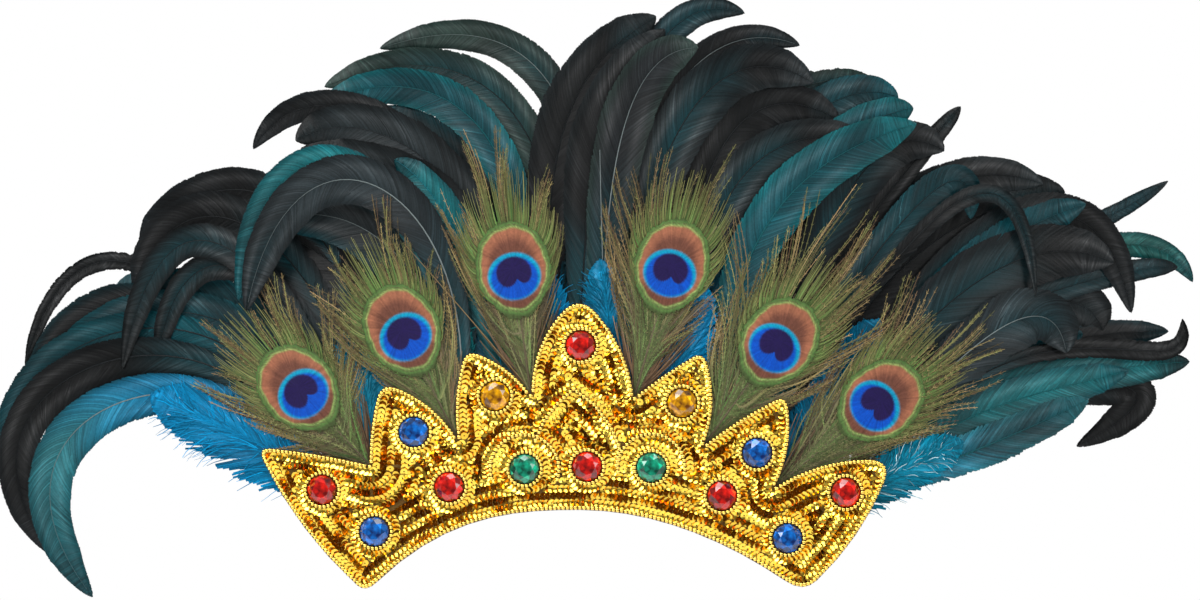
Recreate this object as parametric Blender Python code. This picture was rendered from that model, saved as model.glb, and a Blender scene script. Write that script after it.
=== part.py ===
"""Carnival feather headdress. Metres, +Z up, the front faces -Y, +X is the right-hand side of the view.

A seven-peaked crown panel, bowed round the forehead, carries cut stones in bead rings and a
corded edge. Behind it stand six peacock eye feathers and ten bunches of cock-tail feathers.
The origin is the middle of the panel's lower edge, on its back face.
"""

import math
from collections import namedtuple

import bmesh
import bpy
from mathutils import Vector

# Crown panel
CROWN_WIDTH = 0.304
CROWN_HEIGHT = 0.101
CROWN_DROP = 0.040
PANEL_THICKNESS = 0.0024
BOW_RADIUS = 0.75
TIP_ROUNDING = 0.010
ARCH_LEFT_POWER = 2.7
ARCH_RIGHT_POWER = 1.95

# Trim on the panel's front
PIPING_DIAMETER = 0.0024
PIPING_INSET = 0.0012
MITRE_LIMIT = 1.6
GEM_DIAMETER = 0.014
GEM_HEIGHT = 0.0042
GIRDLE_HEIGHT = 0.0012
TABLE_DIAMETER = 0.0078
TABLE_TURN = 0.25
RING_WIRE = 0.0018

# Feather fan
FAN_HALF_WIDTH = 0.288
FAN_HEIGHT = 0.245
VANE_BREADTH = 0.024
ROOT_STEP = 0.0009
TIP_STEP = 0.0017
SPREAD_LENGTH = 0.095
VANE_FILL = 0.55

# Heads that hold the quills behind the panel
HEAD_PITCH = 0.027
HEAD_HEIGHT = 0.014
HEAD_CLEARANCE = 0.002
QUILL_HEAD_WIDTH = 0.004
QUILL_HEAD_HEIGHT = 0.005
QUILL_HEAD_DROP = 0.005
QUILL_HEAD_BACK = 0.9
ROOTS_SPREAD = 0.65

# Peacock feathers
PEACOCK_LENGTH = 0.135
HERL_SHORTENING = 0.42
HERL_POWER = 2.5
LOCK_VALLEY = 0.86
PLATE_NARROWING = 0.35
EYE_LENGTH = 0.039
EYE_BREADTH = 0.032
EYE_RISE = 0.0004
EYE_BEVEL = 0.85

GAP = 0.0003

# Numbers of facets and stations
PANEL_SLICES = 20
FLANK_STEPS = 4
ROUND_STEPS = 4
ARCH_STEPS = 18
PIPING_SIDES = 5
GEM_SIDES = 8
RING_SEGMENTS = 12
RING_SIDES = 5
HEAD_SLICES = 3
LOCKS = 8
PLATE_STATIONS = (0.02, 0.25, 0.5, 0.75)
EYE_SIDES = 14
TANGENT_STEP = 0.01

CROWN_HALF = CROWN_WIDTH / 2

# Across is a share of CROWN_WIDTH / 2 and up of CROWN_HEIGHT, to where the flanks' lines meet.
# Rise and fall are the outward bulges of a peak's two flanks, as shares of their lengths.
# The notch is the one to the peak's right; the last peak falls to the lower right corner.
Peak = namedtuple("Peak", "name across up rounding rise fall notch_across notch_up")
PEAKS = (
    Peak("left_end", -1.023, 0.299, 0.75, 0.055, 0.02, -0.666, 0.214),
    Peak("left_outer", -0.628, 0.604, 0.75, 0.04, 0.10, -0.388, 0.342),
    Peak("left_inner", -0.360, 0.760, 0.60, 0.06, 0.09, -0.155, 0.551),
    Peak("centre", -0.003, 1.017, 0.95, 0.12, 0.10, 0.171, 0.537),
    Peak("right_inner", 0.388, 0.756, 0.60, 0.02, 0.10, 0.392, 0.309),
    Peak("right_outer", 0.651, 0.547, 0.60, 0.03, 0.09, 0.616, 0.109),
    Peak("right_end", 0.988, 0.233, 1.05, 0.09, 0.07, None, None),
)
LOWER_LEFT_ACROSS = -0.676
LOWER_LEFT_ROUNDING = 0.55
LOWER_RIGHT_ACROSS = 0.704
LOWER_RIGHT_ROUNDING = 0.85

# Stones: shares of CROWN_WIDTH / 2 and CROWN_HEIGHT
Gem = namedtuple("Gem", "name colour across up")
GEMS = (
    Gem("red_top", "red", 0.002, 0.782),
    Gem("red_centre", "red", 0.022, 0.206),
    Gem("amber_left", "amber", -0.268, 0.542),
    Gem("amber_right", "amber", 0.322, 0.509),
    Gem("green_left", "green", -0.175, 0.195),
    Gem("green_right", "green", 0.225, 0.202),
    Gem("blue_left_upper", "blue", -0.525, 0.371),
    Gem("blue_right_upper", "blue", 0.559, 0.271),
    Gem("red_left_lower", "red", -0.413, 0.109),
    Gem("red_right_lower", "red", 0.448, 0.067),
    Gem("blue_left_lower", "blue", -0.649, -0.103),
    Gem("blue_right_lower", "blue", 0.655, -0.135),
    Gem("red_left_end", "red", -0.815, 0.095),
    Gem("red_right_end", "red", 0.839, 0.082),
)

# Peacock feathers, each rising from the notch after the named peak. Angles in degrees from +X:
# the quill's, then the lower and upper limits of its fan of herls. Reach is a share of
# PEACOCK_LENGTH, eye the distance of the eye's middle as a share of that reach.
Peacock = namedtuple("Peacock", "name peak axis low high reach eye layer")
PEACOCKS = (
    Peacock("peacock_left_outer", "left_end", 133, 97, 168, 0.84, 0.49, 4),
    Peacock("peacock_left_middle", "left_outer", 117, 94, 141, 0.98, 0.48, 1),
    Peacock("peacock_left_inner", "left_inner", 98, 80, 121, 1.02, 0.48, 0),
    Peacock("peacock_right_inner", "centre", 74, 55, 99, 0.99, 0.53, 1),
    Peacock("peacock_right_middle", "right_inner", 54, 30, 87, 1.07, 0.46, 0),
    Peacock("peacock_right_outer", "right_outer", 39, 15, 63, 1.07, 0.49, 1),
)

# Bunches from left to right. Up is the height of the head's middle, as a share of CROWN_HEIGHT.
Bunch = namedtuple("Bunch", "name up")
BUNCHES = (
    Bunch("left_low", 0.04),
    Bunch("left_mid", 0.0),
    Bunch("left_high", 0.12),
    Bunch("left_top", 0.22),
    Bunch("crest_left", 0.32),
    Bunch("crest_right", 0.32),
    Bunch("right_top", 0.22),
    Bunch("right_high", 0.10),
    Bunch("right_mid", -0.07),
    Bunch("right_low", -0.03),
)

# Vanes: the centreline passes a point a third of the way, one at two thirds, and ends at its
# tip. Across is a share of FAN_HALF_WIDTH, up of FAN_HEIGHT, breadth of VANE_BREADTH.
# Layers count from the front.
Vane = namedtuple("Vane", "bunch name shape across1 up1 across2 up2 across3 up3 breadth layer")
VANES = (
    Vane("left_low", "down", "down", -0.497, 0.102, -0.580, 0.153, -0.717, 0.225, 1.5, 5),
    Vane("left_low", "sweep_teal", "vane", -0.635, 0.225, -0.857, 0.137, -0.817, -0.171, 0.96, 6),
    Vane("left_low", "sweep_dark", "vane", -0.650, 0.294, -0.900, 0.216, -0.883, -0.090, 0.88, 8),
    Vane("left_low", "sweep_outer", "vane", -0.640, 0.345, -0.897, 0.270, -0.913, -0.020, 0.8, 10),
    Vane("left_low", "thin_arc", "vane", -0.650, 0.412, -0.825, 0.478, -0.930, 0.278, 0.36, 14),
    Vane("left_mid", "down", "down", -0.347, 0.137, -0.358, 0.235, -0.392, 0.353, 1.2, 5),
    Vane("left_mid", "hook_low", "vane", -0.467, 0.353, -0.633, 0.529, -0.765, 0.278, 0.68, 7),
    Vane("left_mid", "hook_high", "vane", -0.450, 0.353, -0.608, 0.480, -0.708, 0.278, 0.6, 9),
    Vane("left_mid", "shade", "vane", -0.463, 0.265, -0.667, 0.388, -0.883, 0.290, 0.9, 11),
    Vane("left_mid", "blunt_low", "vane", -0.460, 0.450, -0.633, 0.575, -0.737, 0.412, 1.0, 12),
    Vane("left_mid", "blunt_high", "vane", -0.417, 0.505, -0.592, 0.628, -0.733, 0.520, 0.9, 13),
    Vane("left_high", "down", "down", -0.233, 0.176, -0.220, 0.275, -0.233, 0.412, 1.2, 4),
    Vane("left_high", "arch_grey", "vane", -0.233, 0.490, -0.403, 0.647, -0.557, 0.392, 1.0, 2),
    Vane("left_high", "arch_teal", "vane", -0.267, 0.520, -0.440, 0.680, -0.570, 0.412, 0.72, 3),
    Vane("left_high", "broad_grey", "vane", -0.200, 0.412, -0.250, 0.608, -0.467, 0.706, 1.2, 6),
    Vane("left_top", "stem_teal", "vane", -0.133, 0.294, -0.200, 0.529, -0.308, 0.686, 0.8, 5),
    Vane("left_top", "top_grey", "vane", -0.150, 0.500, -0.300, 0.720, -0.473, 0.725, 1.1, 7),
    Vane("left_top", "inner_dark", "vane", -0.217, 0.333, -0.333, 0.529, -0.517, 0.569, 1.2, 8),
    Vane("left_top", "top_black", "vane", -0.167, 0.540, -0.358, 0.778, -0.545, 0.710, 0.66, 9),
    Vane("left_top", "top_teal", "vane", -0.100, 0.559, -0.217, 0.800, -0.432, 0.800, 0.84, 10),
    Vane("crest_left", "down", "down", -0.045, 0.235, -0.053, 0.333, -0.062, 0.471, 1.2, 4),
    Vane("crest_left", "crest_inner", "vane", 0.008, 0.510, 0.033, 0.745, 0.140, 0.941, 1.12, 6),
    Vane("crest_left", "crest_black", "vane", -0.053, 0.549, -0.008, 0.804, 0.125, 0.967, 1.2, 9),
    Vane("crest_left", "crest_green", "vane", -0.053, 0.627, -0.192, 0.852, -0.425, 0.831, 0.8, 11),
    Vane("crest_left", "crest_lone", "vane", 0.008, 0.608, -0.090, 0.886, -0.333, 0.906, 0.64, 14),
    Vane("crest_right", "down", "down", 0.053, 0.255, 0.050, 0.353, 0.033, 0.490, 1.1, 3),
    Vane("crest_right", "crest_grey", "vane", 0.042, 0.490, 0.083, 0.784, 0.195, 0.906, 1.04, 5),
    Vane("crest_right", "crest_fall", "vane", 0.100, 0.529, 0.208, 0.814, 0.388, 0.839, 1.12, 7),
    Vane("crest_right", "crest_shaft", "vane", 0.075, 0.569, 0.183, 0.859, 0.365, 0.912, 0.68, 8),
    Vane("crest_right", "crest_spike", "vane", 0.050, 0.549, 0.117, 0.882, 0.273, 0.975, 0.68, 10),
    Vane("right_top", "down", "down", 0.147, 0.216, 0.167, 0.314, 0.200, 0.451, 1.4, 4),
    Vane("right_top", "black_low", "vane", 0.200, 0.471, 0.300, 0.686, 0.483, 0.725, 0.92, 6),
    Vane("right_top", "black_high", "vane", 0.183, 0.529, 0.275, 0.765, 0.433, 0.765, 1.0, 9),
    Vane("right_top", "teal_black", "vane", 0.217, 0.490, 0.367, 0.755, 0.530, 0.810, 0.92, 10),
    Vane("right_top", "wispy", "vane", 0.167, 0.549, 0.308, 0.788, 0.487, 0.847, 0.56, 12),
    Vane("right_high", "down", "down", 0.275, 0.157, 0.300, 0.255, 0.325, 0.412, 1.0, 3),
    Vane("right_high", "teal_broad", "vane", 0.258, 0.412, 0.367, 0.637, 0.560, 0.757, 1.08, 5),
    Vane("right_high", "curl_teal", "vane", 0.417, 0.373, 0.583, 0.618, 0.653, 0.573, 0.72, 6),
    Vane("right_high", "teal_leaf", "vane", 0.283, 0.471, 0.417, 0.706, 0.555, 0.788, 0.92, 7),
    Vane("right_high", "black_hook", "vane", 0.367, 0.431, 0.483, 0.676, 0.607, 0.706, 1.0, 8),
    Vane("right_high", "spike_up", "vane", 0.383, 0.392, 0.533, 0.647, 0.635, 0.790, 0.44, 11),
    Vane("right_high", "arch_black", "vane", 0.400, 0.400, 0.575, 0.617, 0.773, 0.641, 0.9, 12),
    Vane("right_mid", "down", "down", 0.383, 0.137, 0.430, 0.245, 0.500, 0.373, 1.1, 5),
    Vane("right_mid", "dark_broad", "vane", 0.488, 0.245, 0.683, 0.461, 0.892, 0.486, 1.2, 7),
    Vane("right_mid", "teal_reach", "vane", 0.500, 0.275, 0.667, 0.486, 0.845, 0.600, 0.88, 9),
    Vane("right_mid", "ribbon_black", "vane", 0.533, 0.363, 0.767, 0.577, 0.923, 0.388, 0.68, 10),
    Vane("right_mid", "small_leaf", "vane", 0.517, 0.265, 0.800, 0.431, 1.000, 0.476, 0.52, 11),
    Vane("right_mid", "curl_leaf", "vane", 0.567, 0.310, 0.842, 0.506, 1.027, 0.449, 0.56, 14),
    Vane("right_mid", "spike_right", "vane", 0.550, 0.314, 0.783, 0.510, 0.985, 0.645, 0.4, 15),
    Vane("right_low", "down", "down", 0.490, 0.047, 0.550, 0.086, 0.640, 0.132, 1.0, 3),
    Vane("right_low", "grey_fall", "vane", 0.583, 0.235, 0.733, 0.373, 0.813, 0.310, 1.2, 4),
    Vane("right_low", "grey_low", "vane", 0.567, 0.072, 0.700, 0.135, 0.850, 0.216, 1.1, 6),
    Vane("right_low", "teal_under", "vane", 0.583, 0.137, 0.733, 0.216, 0.917, 0.271, 0.88, 8),
    Vane("right_low", "teal_long", "vane", 0.583, 0.170, 0.800, 0.258, 1.020, 0.290, 0.88, 10),
    Vane("right_low", "dark_arch", "vane", 0.583, 0.300, 0.767, 0.412, 0.875, 0.353, 1.2, 13),
    Vane("right_low", "droop_black", "vane", 0.633, 0.190, 0.897, 0.245, 0.833, 0.124, 0.6, 14),
)
LAYERS = 1 + max(row.layer for row in VANES)

# Half breadth along a vane, as shares of half its full breadth
Shape = namedtuple("Shape", "along vane down")
SHAPES = (
    Shape(0.0, 0.08, 0.12),
    Shape(0.1, 0.17, 0.45),
    Shape(0.25, 0.52, 0.85),
    Shape(0.45, 0.88, 1.0),
    Shape(0.65, 1.0, 0.95),
    Shape(0.82, 0.84, 0.75),
    Shape(0.93, 0.5, 0.45),
    Shape(1.0, 0.0, 0.0),
)

# The quill heads' row lies below this arc, where the layers are still packed close.
SPREAD_RISE = 0.42
SPREAD_FALL = 0.28
SPREAD_ACROSS = 0.88

COLOURS = {
    "gold": (0.83, 0.56, 0.12, 0.35, 1.0),
    "red": (0.62, 0.01, 0.01, 0.1, 0.0),
    "amber": (0.75, 0.33, 0.02, 0.1, 0.0),
    "green": (0.0, 0.25, 0.14, 0.1, 0.0),
    "blue": (0.0, 0.06, 0.42, 0.1, 0.0),
    "peacock": (0.13, 0.14, 0.06, 0.6, 0.0),
    "black": (0.012, 0.014, 0.016, 0.55, 0.0),
    "grey": (0.04, 0.05, 0.055, 0.55, 0.0),
    "teal": (0.0, 0.09, 0.1, 0.55, 0.0),
}
BUNCH_COLOURS = {"left_low": "teal", "left_high": "grey", "right_high": "teal", "right_low": "teal"}


def clear_scene():
    for item in list(bpy.data.objects):
        bpy.data.objects.remove(item)


def make_material(name, colour):
    red, green, blue, roughness, metallic = COLOURS[colour]
    material = bpy.data.materials.new(name)
    material.use_nodes = True
    shader = material.node_tree.nodes["Principled BSDF"]
    shader.inputs["Base Color"].default_value = (red, green, blue, 1.0)
    shader.inputs["Roughness"].default_value = roughness
    shader.inputs["Metallic"].default_value = metallic
    return material


def add_object(name, shape, colour, smooth=False):
    """Turns a bmesh into an object with its own material."""
    bmesh.ops.recalc_face_normals(shape, faces=shape.faces)
    mesh = bpy.data.meshes.new(name)
    shape.to_mesh(mesh)
    shape.free()
    if smooth:
        mesh.shade_smooth()
    item = bpy.data.objects.new(name, mesh)
    mesh.materials.append(make_material(name + "_finish", colour))
    bpy.context.scene.collection.objects.link(item)
    return item


def fuse(item, name, shape):
    """Joins the closed shells of a bmesh to an object with a union."""
    guide = add_object(name, shape, "grey")
    guide.hide_render = True
    guide.display_type = "WIRE"
    union = item.modifiers.new("fused", "BOOLEAN")
    union.operation = "UNION"
    union.solver = "EXACT"
    union.object = guide


def smooth_share(value):
    value = min(1.0, max(0.0, value))
    return value * value * (3.0 - 2.0 * value)


def bow(x):
    """How far the bowed panel's back face lies behind its middle."""
    return x * x / (2.0 * BOW_RADIUS)


def layer_step(x, z):
    """The pitch of the feather layers, which open out above the quill heads."""
    share = x / CROWN_HALF
    arc = CROWN_HEIGHT * (SPREAD_RISE - SPREAD_FALL * min(1.0, share * share))
    aside = max(0.0, abs(x) - SPREAD_ACROSS * CROWN_HALF)
    above = max(0.0, z - arc)
    opened = smooth_share(math.hypot(aside, above) / SPREAD_LENGTH)
    return ROOT_STEP + (TIP_STEP - ROOT_STEP) * opened


def layer_depth(x, z, layer, side=0.0):
    """The depth of a layer's middle, or of its front (-1) or back (1) face."""
    step = layer_step(x, z)
    return bow(x) + GAP + (layer + 0.5 + side * VANE_FILL / 2.0) * step


def quadratic(start, control, end, share):
    rest = 1.0 - share
    return start * rest * rest + control * 2.0 * rest * share + end * share * share


def crown_corners():
    """Corners from lower left over the peaks to lower right: place, rounding, bulge after."""
    corners = []
    place = Vector((LOWER_LEFT_ACROSS * CROWN_HALF, -CROWN_DROP))
    corners.append((place, LOWER_LEFT_ROUNDING * TIP_ROUNDING, PEAKS[0].rise))
    for index, peak in enumerate(PEAKS):
        place = Vector((peak.across * CROWN_HALF, peak.up * CROWN_HEIGHT))
        corners.append((place, peak.rounding * TIP_ROUNDING, peak.fall))
        if peak.notch_up is not None:
            place = Vector((peak.notch_across * CROWN_HALF, peak.notch_up * CROWN_HEIGHT))
            corners.append((place, 0.0, PEAKS[index + 1].rise))
    place = Vector((LOWER_RIGHT_ACROSS * CROWN_HALF, -CROWN_DROP))
    corners.append((place, LOWER_RIGHT_ROUNDING * TIP_ROUNDING, 0.0))
    return corners


def flank(start, end, cut_start, cut_end, bulge):
    """Points on a bulged flank, from cut_start past its start to cut_end before its end."""
    chord = end - start
    outward = Vector((-chord.y, chord.x)) * bulge
    control = (start + end) / 2.0 + outward * 2.0
    first = cut_start / chord.length
    last = 1.0 - cut_end / chord.length
    points = []
    for step in range(FLANK_STEPS + 1):
        share = first + (last - first) * step / FLANK_STEPS
        points.append(quadratic(start, control, end, share))
    return points


def arch_height(x):
    """The arched lower edge, level at the middle and falling to both lower corners."""
    if x < 0.0:
        return -CROWN_DROP * (x / (LOWER_LEFT_ACROSS * CROWN_HALF)) ** ARCH_LEFT_POWER
    return -CROWN_DROP * (x / (LOWER_RIGHT_ACROSS * CROWN_HALF)) ** ARCH_RIGHT_POWER


def arch(corners):
    left = corners[0][0].x + corners[0][1]
    right = corners[-1][0].x - corners[-1][1]
    points = []
    for step in range(ARCH_STEPS + 1):
        x = right + (left - right) * step / ARCH_STEPS
        points.append(Vector((x, arch_height(x))))
    return points


def crown_outline():
    """The panel's outline in (x, z), running over the peaks from left to right and back."""
    corners = crown_corners()
    runs = []
    for here, there in zip(corners, corners[1:]):
        runs.append(flank(here[0], there[0], here[1], there[1], here[2]))
    runs.append(arch(corners))
    outline = []
    for index, run in enumerate(runs):
        place, rounding, _ = corners[index]
        before = runs[index - 1][-1]
        if rounding > 0.0:
            for step in range(1, ROUND_STEPS):
                outline.append(quadratic(before, place, run[0], step / ROUND_STEPS))
            outline.append(run[0])
        outline.extend(run[1:])
    return outline


def make_panel(outline):
    shape = bmesh.new()
    rim = [shape.verts.new((point.x, 0.0, point.y)) for point in outline]
    face = shape.faces.new(rim)
    front = bmesh.ops.extrude_face_region(shape, geom=[face])["geom"]
    for vert in (part for part in front if isinstance(part, bmesh.types.BMVert)):
        vert.co.y -= PANEL_THICKNESS
    for step in range(1, PANEL_SLICES):
        x = CROWN_WIDTH * (step / PANEL_SLICES - 0.5)
        everything = shape.verts[:] + shape.edges[:] + shape.faces[:]
        bmesh.ops.bisect_plane(shape, geom=everything, plane_co=(x, 0, 0), plane_no=(1, 0, 0))
    for vert in shape.verts:
        vert.co.y += bow(vert.co.x)
    bmesh.ops.triangulate(shape, faces=shape.faces[:])
    return add_object("crown_panel", shape, "gold")


def add_rings(shape, rings, closed):
    """Joins rings of equal length into a tube, capped or closed on itself."""
    rows = [[shape.verts.new(point) for point in ring] for ring in rings]
    sides = len(rows[0])
    for index in range(len(rows) if closed else len(rows) - 1):
        here, there = rows[index], rows[(index + 1) % len(rows)]
        for side in range(sides):
            after = (side + 1) % sides
            shape.faces.new((here[side], here[after], there[after], there[side]))
    if not closed:
        shape.faces.new(rows[0][::-1])
        shape.faces.new(rows[-1])
    return rows


def make_piping(outline):
    """A cord along the front of the panel's edge."""
    radius = PIPING_DIAMETER / 2.0
    rings = []
    for index, point in enumerate(outline):
        before = (point - outline[index - 1]).normalized()
        after = (outline[(index + 1) % len(outline)] - point).normalized()
        inward = Vector((before.y + after.y, -before.x - after.x)).normalized()
        square = Vector((before.y, -before.x))
        stretch = min(MITRE_LIMIT, 1.0 / max(0.1, inward.dot(square)))
        middle = point + inward * PIPING_INSET * stretch
        ring = []
        for side in range(PIPING_SIDES):
            angle = 2.0 * math.pi * (side + 0.5) / PIPING_SIDES
            place = middle + inward * radius * stretch * math.cos(angle)
            proud = PANEL_THICKNESS + GAP + radius * (1.0 + math.sin(angle))
            ring.append((place.x, bow(place.x) - proud, place.y))
        rings.append(ring)
    shape = bmesh.new()
    add_rings(shape, rings, closed=True)
    return add_object("edge_piping", shape, "gold", smooth=True)


def seat_on_front(item, across, up):
    """Places a trim piece, modelled behind y = 0 towards -Y, on the bowed front face."""
    x = across * CROWN_HALF
    item.location = (x, bow(x) - PANEL_THICKNESS - GAP, up * CROWN_HEIGHT)
    item.rotation_euler.z = math.atan(x / BOW_RADIUS)


def polygon(radius, sides, y, turn=0.0):
    points = []
    for side in range(sides):
        angle = 2.0 * math.pi * (side + turn) / sides
        points.append((radius * math.cos(angle), y, radius * math.sin(angle)))
    return points


def make_gem(gem):
    """A flat-backed brilliant: girdle, two rounds of crown facets and a table."""
    shape = bmesh.new()
    girdle = 2 * GEM_SIDES
    back = [shape.verts.new(p) for p in polygon(GEM_DIAMETER / 2, girdle, 0.0)]
    rim = [shape.verts.new(p) for p in polygon(GEM_DIAMETER / 2, girdle, -GIRDLE_HEIGHT)]
    corners = polygon(TABLE_DIAMETER / 2, GEM_SIDES, -GEM_HEIGHT, TABLE_TURN)
    table = [shape.verts.new(p) for p in corners]
    shape.faces.new(back)
    shape.faces.new(table)
    for side in range(girdle):
        after = (side + 1) % girdle
        shape.faces.new((back[side], back[after], rim[after], rim[side]))
    for facet in range(GEM_SIDES):
        low, high = rim[2 * facet], rim[2 * facet + 1]
        corner, following = table[facet], table[(facet + 1) % GEM_SIDES]
        shape.faces.new((low, high, corner))
        shape.faces.new((high, following, corner))
        shape.faces.new((high, rim[(2 * facet + 2) % girdle], following))
    item = add_object("gem_" + gem.name, shape, gem.colour)
    seat_on_front(item, gem.across, gem.up)
    return item


def make_bead_ring(gem):
    """The ring of gold beads round a stone, as one ring."""
    wire = RING_WIRE / 2.0
    radius = GEM_DIAMETER / 2.0 + GAP + wire
    rings = []
    for segment in range(RING_SEGMENTS):
        turn = 2.0 * math.pi * segment / RING_SEGMENTS
        ring = []
        for side in range(RING_SIDES):
            angle = 2.0 * math.pi * side / RING_SIDES
            out = radius + wire * math.cos(angle)
            ring.append((out * math.cos(turn), wire * (math.sin(angle) - 1.0), out * math.sin(turn)))
        rings.append(ring)
    shape = bmesh.new()
    add_rings(shape, rings, closed=True)
    item = add_object("bead_ring_" + gem.name, shape, "gold", smooth=True)
    seat_on_front(item, gem.across, gem.up)
    return item


def add_head(shape, left, right, bottom, top, layers):
    """A block from just behind the panel to the given layer, following the bow."""
    rings = []
    for step in range(HEAD_SLICES + 1):
        x = left + (right - left) * step / HEAD_SLICES
        front, back = bow(x) + GAP, bow(x) + GAP + layers * ROOT_STEP
        rings.append([(x, front, bottom), (x, back, bottom), (x, back, top), (x, front, top)])
    add_rings(shape, rings, closed=False)


def head_place(index):
    """Left, right and middle height of a bunch's head, in a row behind the panel."""
    middle = (index - (len(BUNCHES) - 1) / 2.0) * HEAD_PITCH
    half = (HEAD_PITCH - HEAD_CLEARANCE) / 2.0
    return middle - half, middle + half, BUNCHES[index].up * CROWN_HEIGHT


def through_points(root, third, two_thirds, tip, share):
    """A cubic curve's point; the curve passes the two middle points at 1/3 and 2/3."""
    first = (root * -5.0 + third * 18.0 - two_thirds * 9.0 + tip * 2.0) / 6.0
    second = (root * 2.0 - third * 9.0 + two_thirds * 18.0 - tip * 5.0) / 6.0
    rest = 1.0 - share
    start_side = root * rest**3 + first * 3.0 * rest * rest * share
    return start_side + second * 3.0 * rest * share * share + tip * share**3


def fan_point(across, up):
    return Vector((across * FAN_HALF_WIDTH, up * FAN_HEIGHT))


def add_vane(shape, row, root):
    """One feather as a closed ribbon with a raised midrib on both faces."""
    marks = (
        root,
        fan_point(row.across1, row.up1),
        fan_point(row.across2, row.up2),
        fan_point(row.across3, row.up3),
    )
    sections = []
    for station in SHAPES:
        here = through_points(*marks, station.along)
        before = through_points(*marks, max(0.0, station.along - TANGENT_STEP))
        after = through_points(*marks, min(1.0, station.along + TANGENT_STEP))
        along = (after - before).normalized()
        half = getattr(station, row.shape) * row.breadth * VANE_BREADTH / 2.0
        aside = Vector((-along.y, along.x)) * half
        sections.append((here, here + aside, here - aside))
    rings = []
    for middle, left, right in sections[:-1]:
        front = layer_depth(middle.x, middle.y, row.layer, -1.0)
        back = layer_depth(middle.x, middle.y, row.layer, 1.0)
        ring = (
            (middle.x, front, middle.y),
            (left.x, layer_depth(left.x, left.y, row.layer), left.y),
            (middle.x, back, middle.y),
            (right.x, layer_depth(right.x, right.y, row.layer), right.y),
        )
        rings.append([shape.verts.new(point) for point in ring])
    end = sections[-1][0]
    tip = shape.verts.new((end.x, layer_depth(end.x, end.y, row.layer), end.y))
    for here, there in zip(rings, rings[1:]):
        for side in range(4):
            after = (side + 1) % 4
            shape.faces.new((here[side], here[after], there[after], there[side]))
    for side in range(4):
        shape.faces.new((rings[-1][side], rings[-1][(side + 1) % 4], tip))
    shape.faces.new(rings[0][::-1])


def make_bunch(index):
    bunch = BUNCHES[index]
    left, right, middle = head_place(index)
    shape = bmesh.new()
    add_head(shape, left, right, middle - HEAD_HEIGHT / 2, middle + HEAD_HEIGHT / 2, LAYERS)
    colour = BUNCH_COLOURS.get(bunch.name, "black")
    item = add_object("coque_bunch_" + bunch.name, shape, colour)
    rows = [row for row in VANES if row.bunch == bunch.name]
    rows.sort(key=lambda row: row.across1)
    vanes = bmesh.new()
    for place, row in enumerate(rows):
        x = left + (right - left) * (0.5 + ROOTS_SPREAD * ((place + 0.5) / len(rows) - 0.5))
        add_vane(vanes, row, Vector((x, middle)))
    fuse(item, "vanes_" + bunch.name, vanes)
    return item


def peak_notch(name):
    peak = next(row for row in PEAKS if row.name == name)
    return Vector((peak.notch_across * CROWN_HALF, peak.notch_up * CROWN_HEIGHT))


def direction(degrees):
    return Vector((math.cos(math.radians(degrees)), math.sin(math.radians(degrees))))


def herl_reach(row, turn):
    """Length of the herls at an angle across the fan, from -1 to 1; the outer ones are shorter."""
    return row.reach * PEACOCK_LENGTH * (1.0 - HERL_SHORTENING * abs(turn) ** HERL_POWER)


def add_plate(shape, row, root):
    """The fan of herls as a thin plate that ends in pointed locks, narrow at the quill."""
    columns = []
    for column in range(2 * LOCKS + 1):
        turn = column / LOCKS - 1.0
        limit = row.high - row.axis if turn > 0.0 else row.axis - row.low
        reach = herl_reach(row, turn)
        end = 1.0 if column % 2 else LOCK_VALLEY
        points = []
        for share in PLATE_STATIONS + (end,):
            spread = smooth_share(share / PLATE_STATIONS[2])
            fullness = PLATE_NARROWING + (1.0 - PLATE_NARROWING) * spread
            points.append(root + direction(row.axis + turn * limit * fullness) * reach * share)
        columns.append(points)
    rims = []
    for side in (-1.0, 1.0):
        grid = []
        for points in columns:
            verts = []
            for point in points:
                depth = layer_depth(point.x, point.y, row.layer, side)
                verts.append(shape.verts.new((point.x, depth, point.y)))
            grid.append(verts)
        for here, there in zip(grid, grid[1:]):
            for level in range(len(PLATE_STATIONS)):
                shape.faces.new((here[level], here[level + 1], there[level + 1], there[level]))
        ends = [verts[-1] for verts in grid[1:]]
        roots = [verts[0] for verts in grid[-2:0:-1]]
        rims.append(grid[0] + ends + grid[-1][-2::-1] + roots)
    front, back = rims
    for index in range(len(front)):
        after = (index + 1) % len(front)
        shape.faces.new((front[index], front[after], back[after], back[index]))


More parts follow.
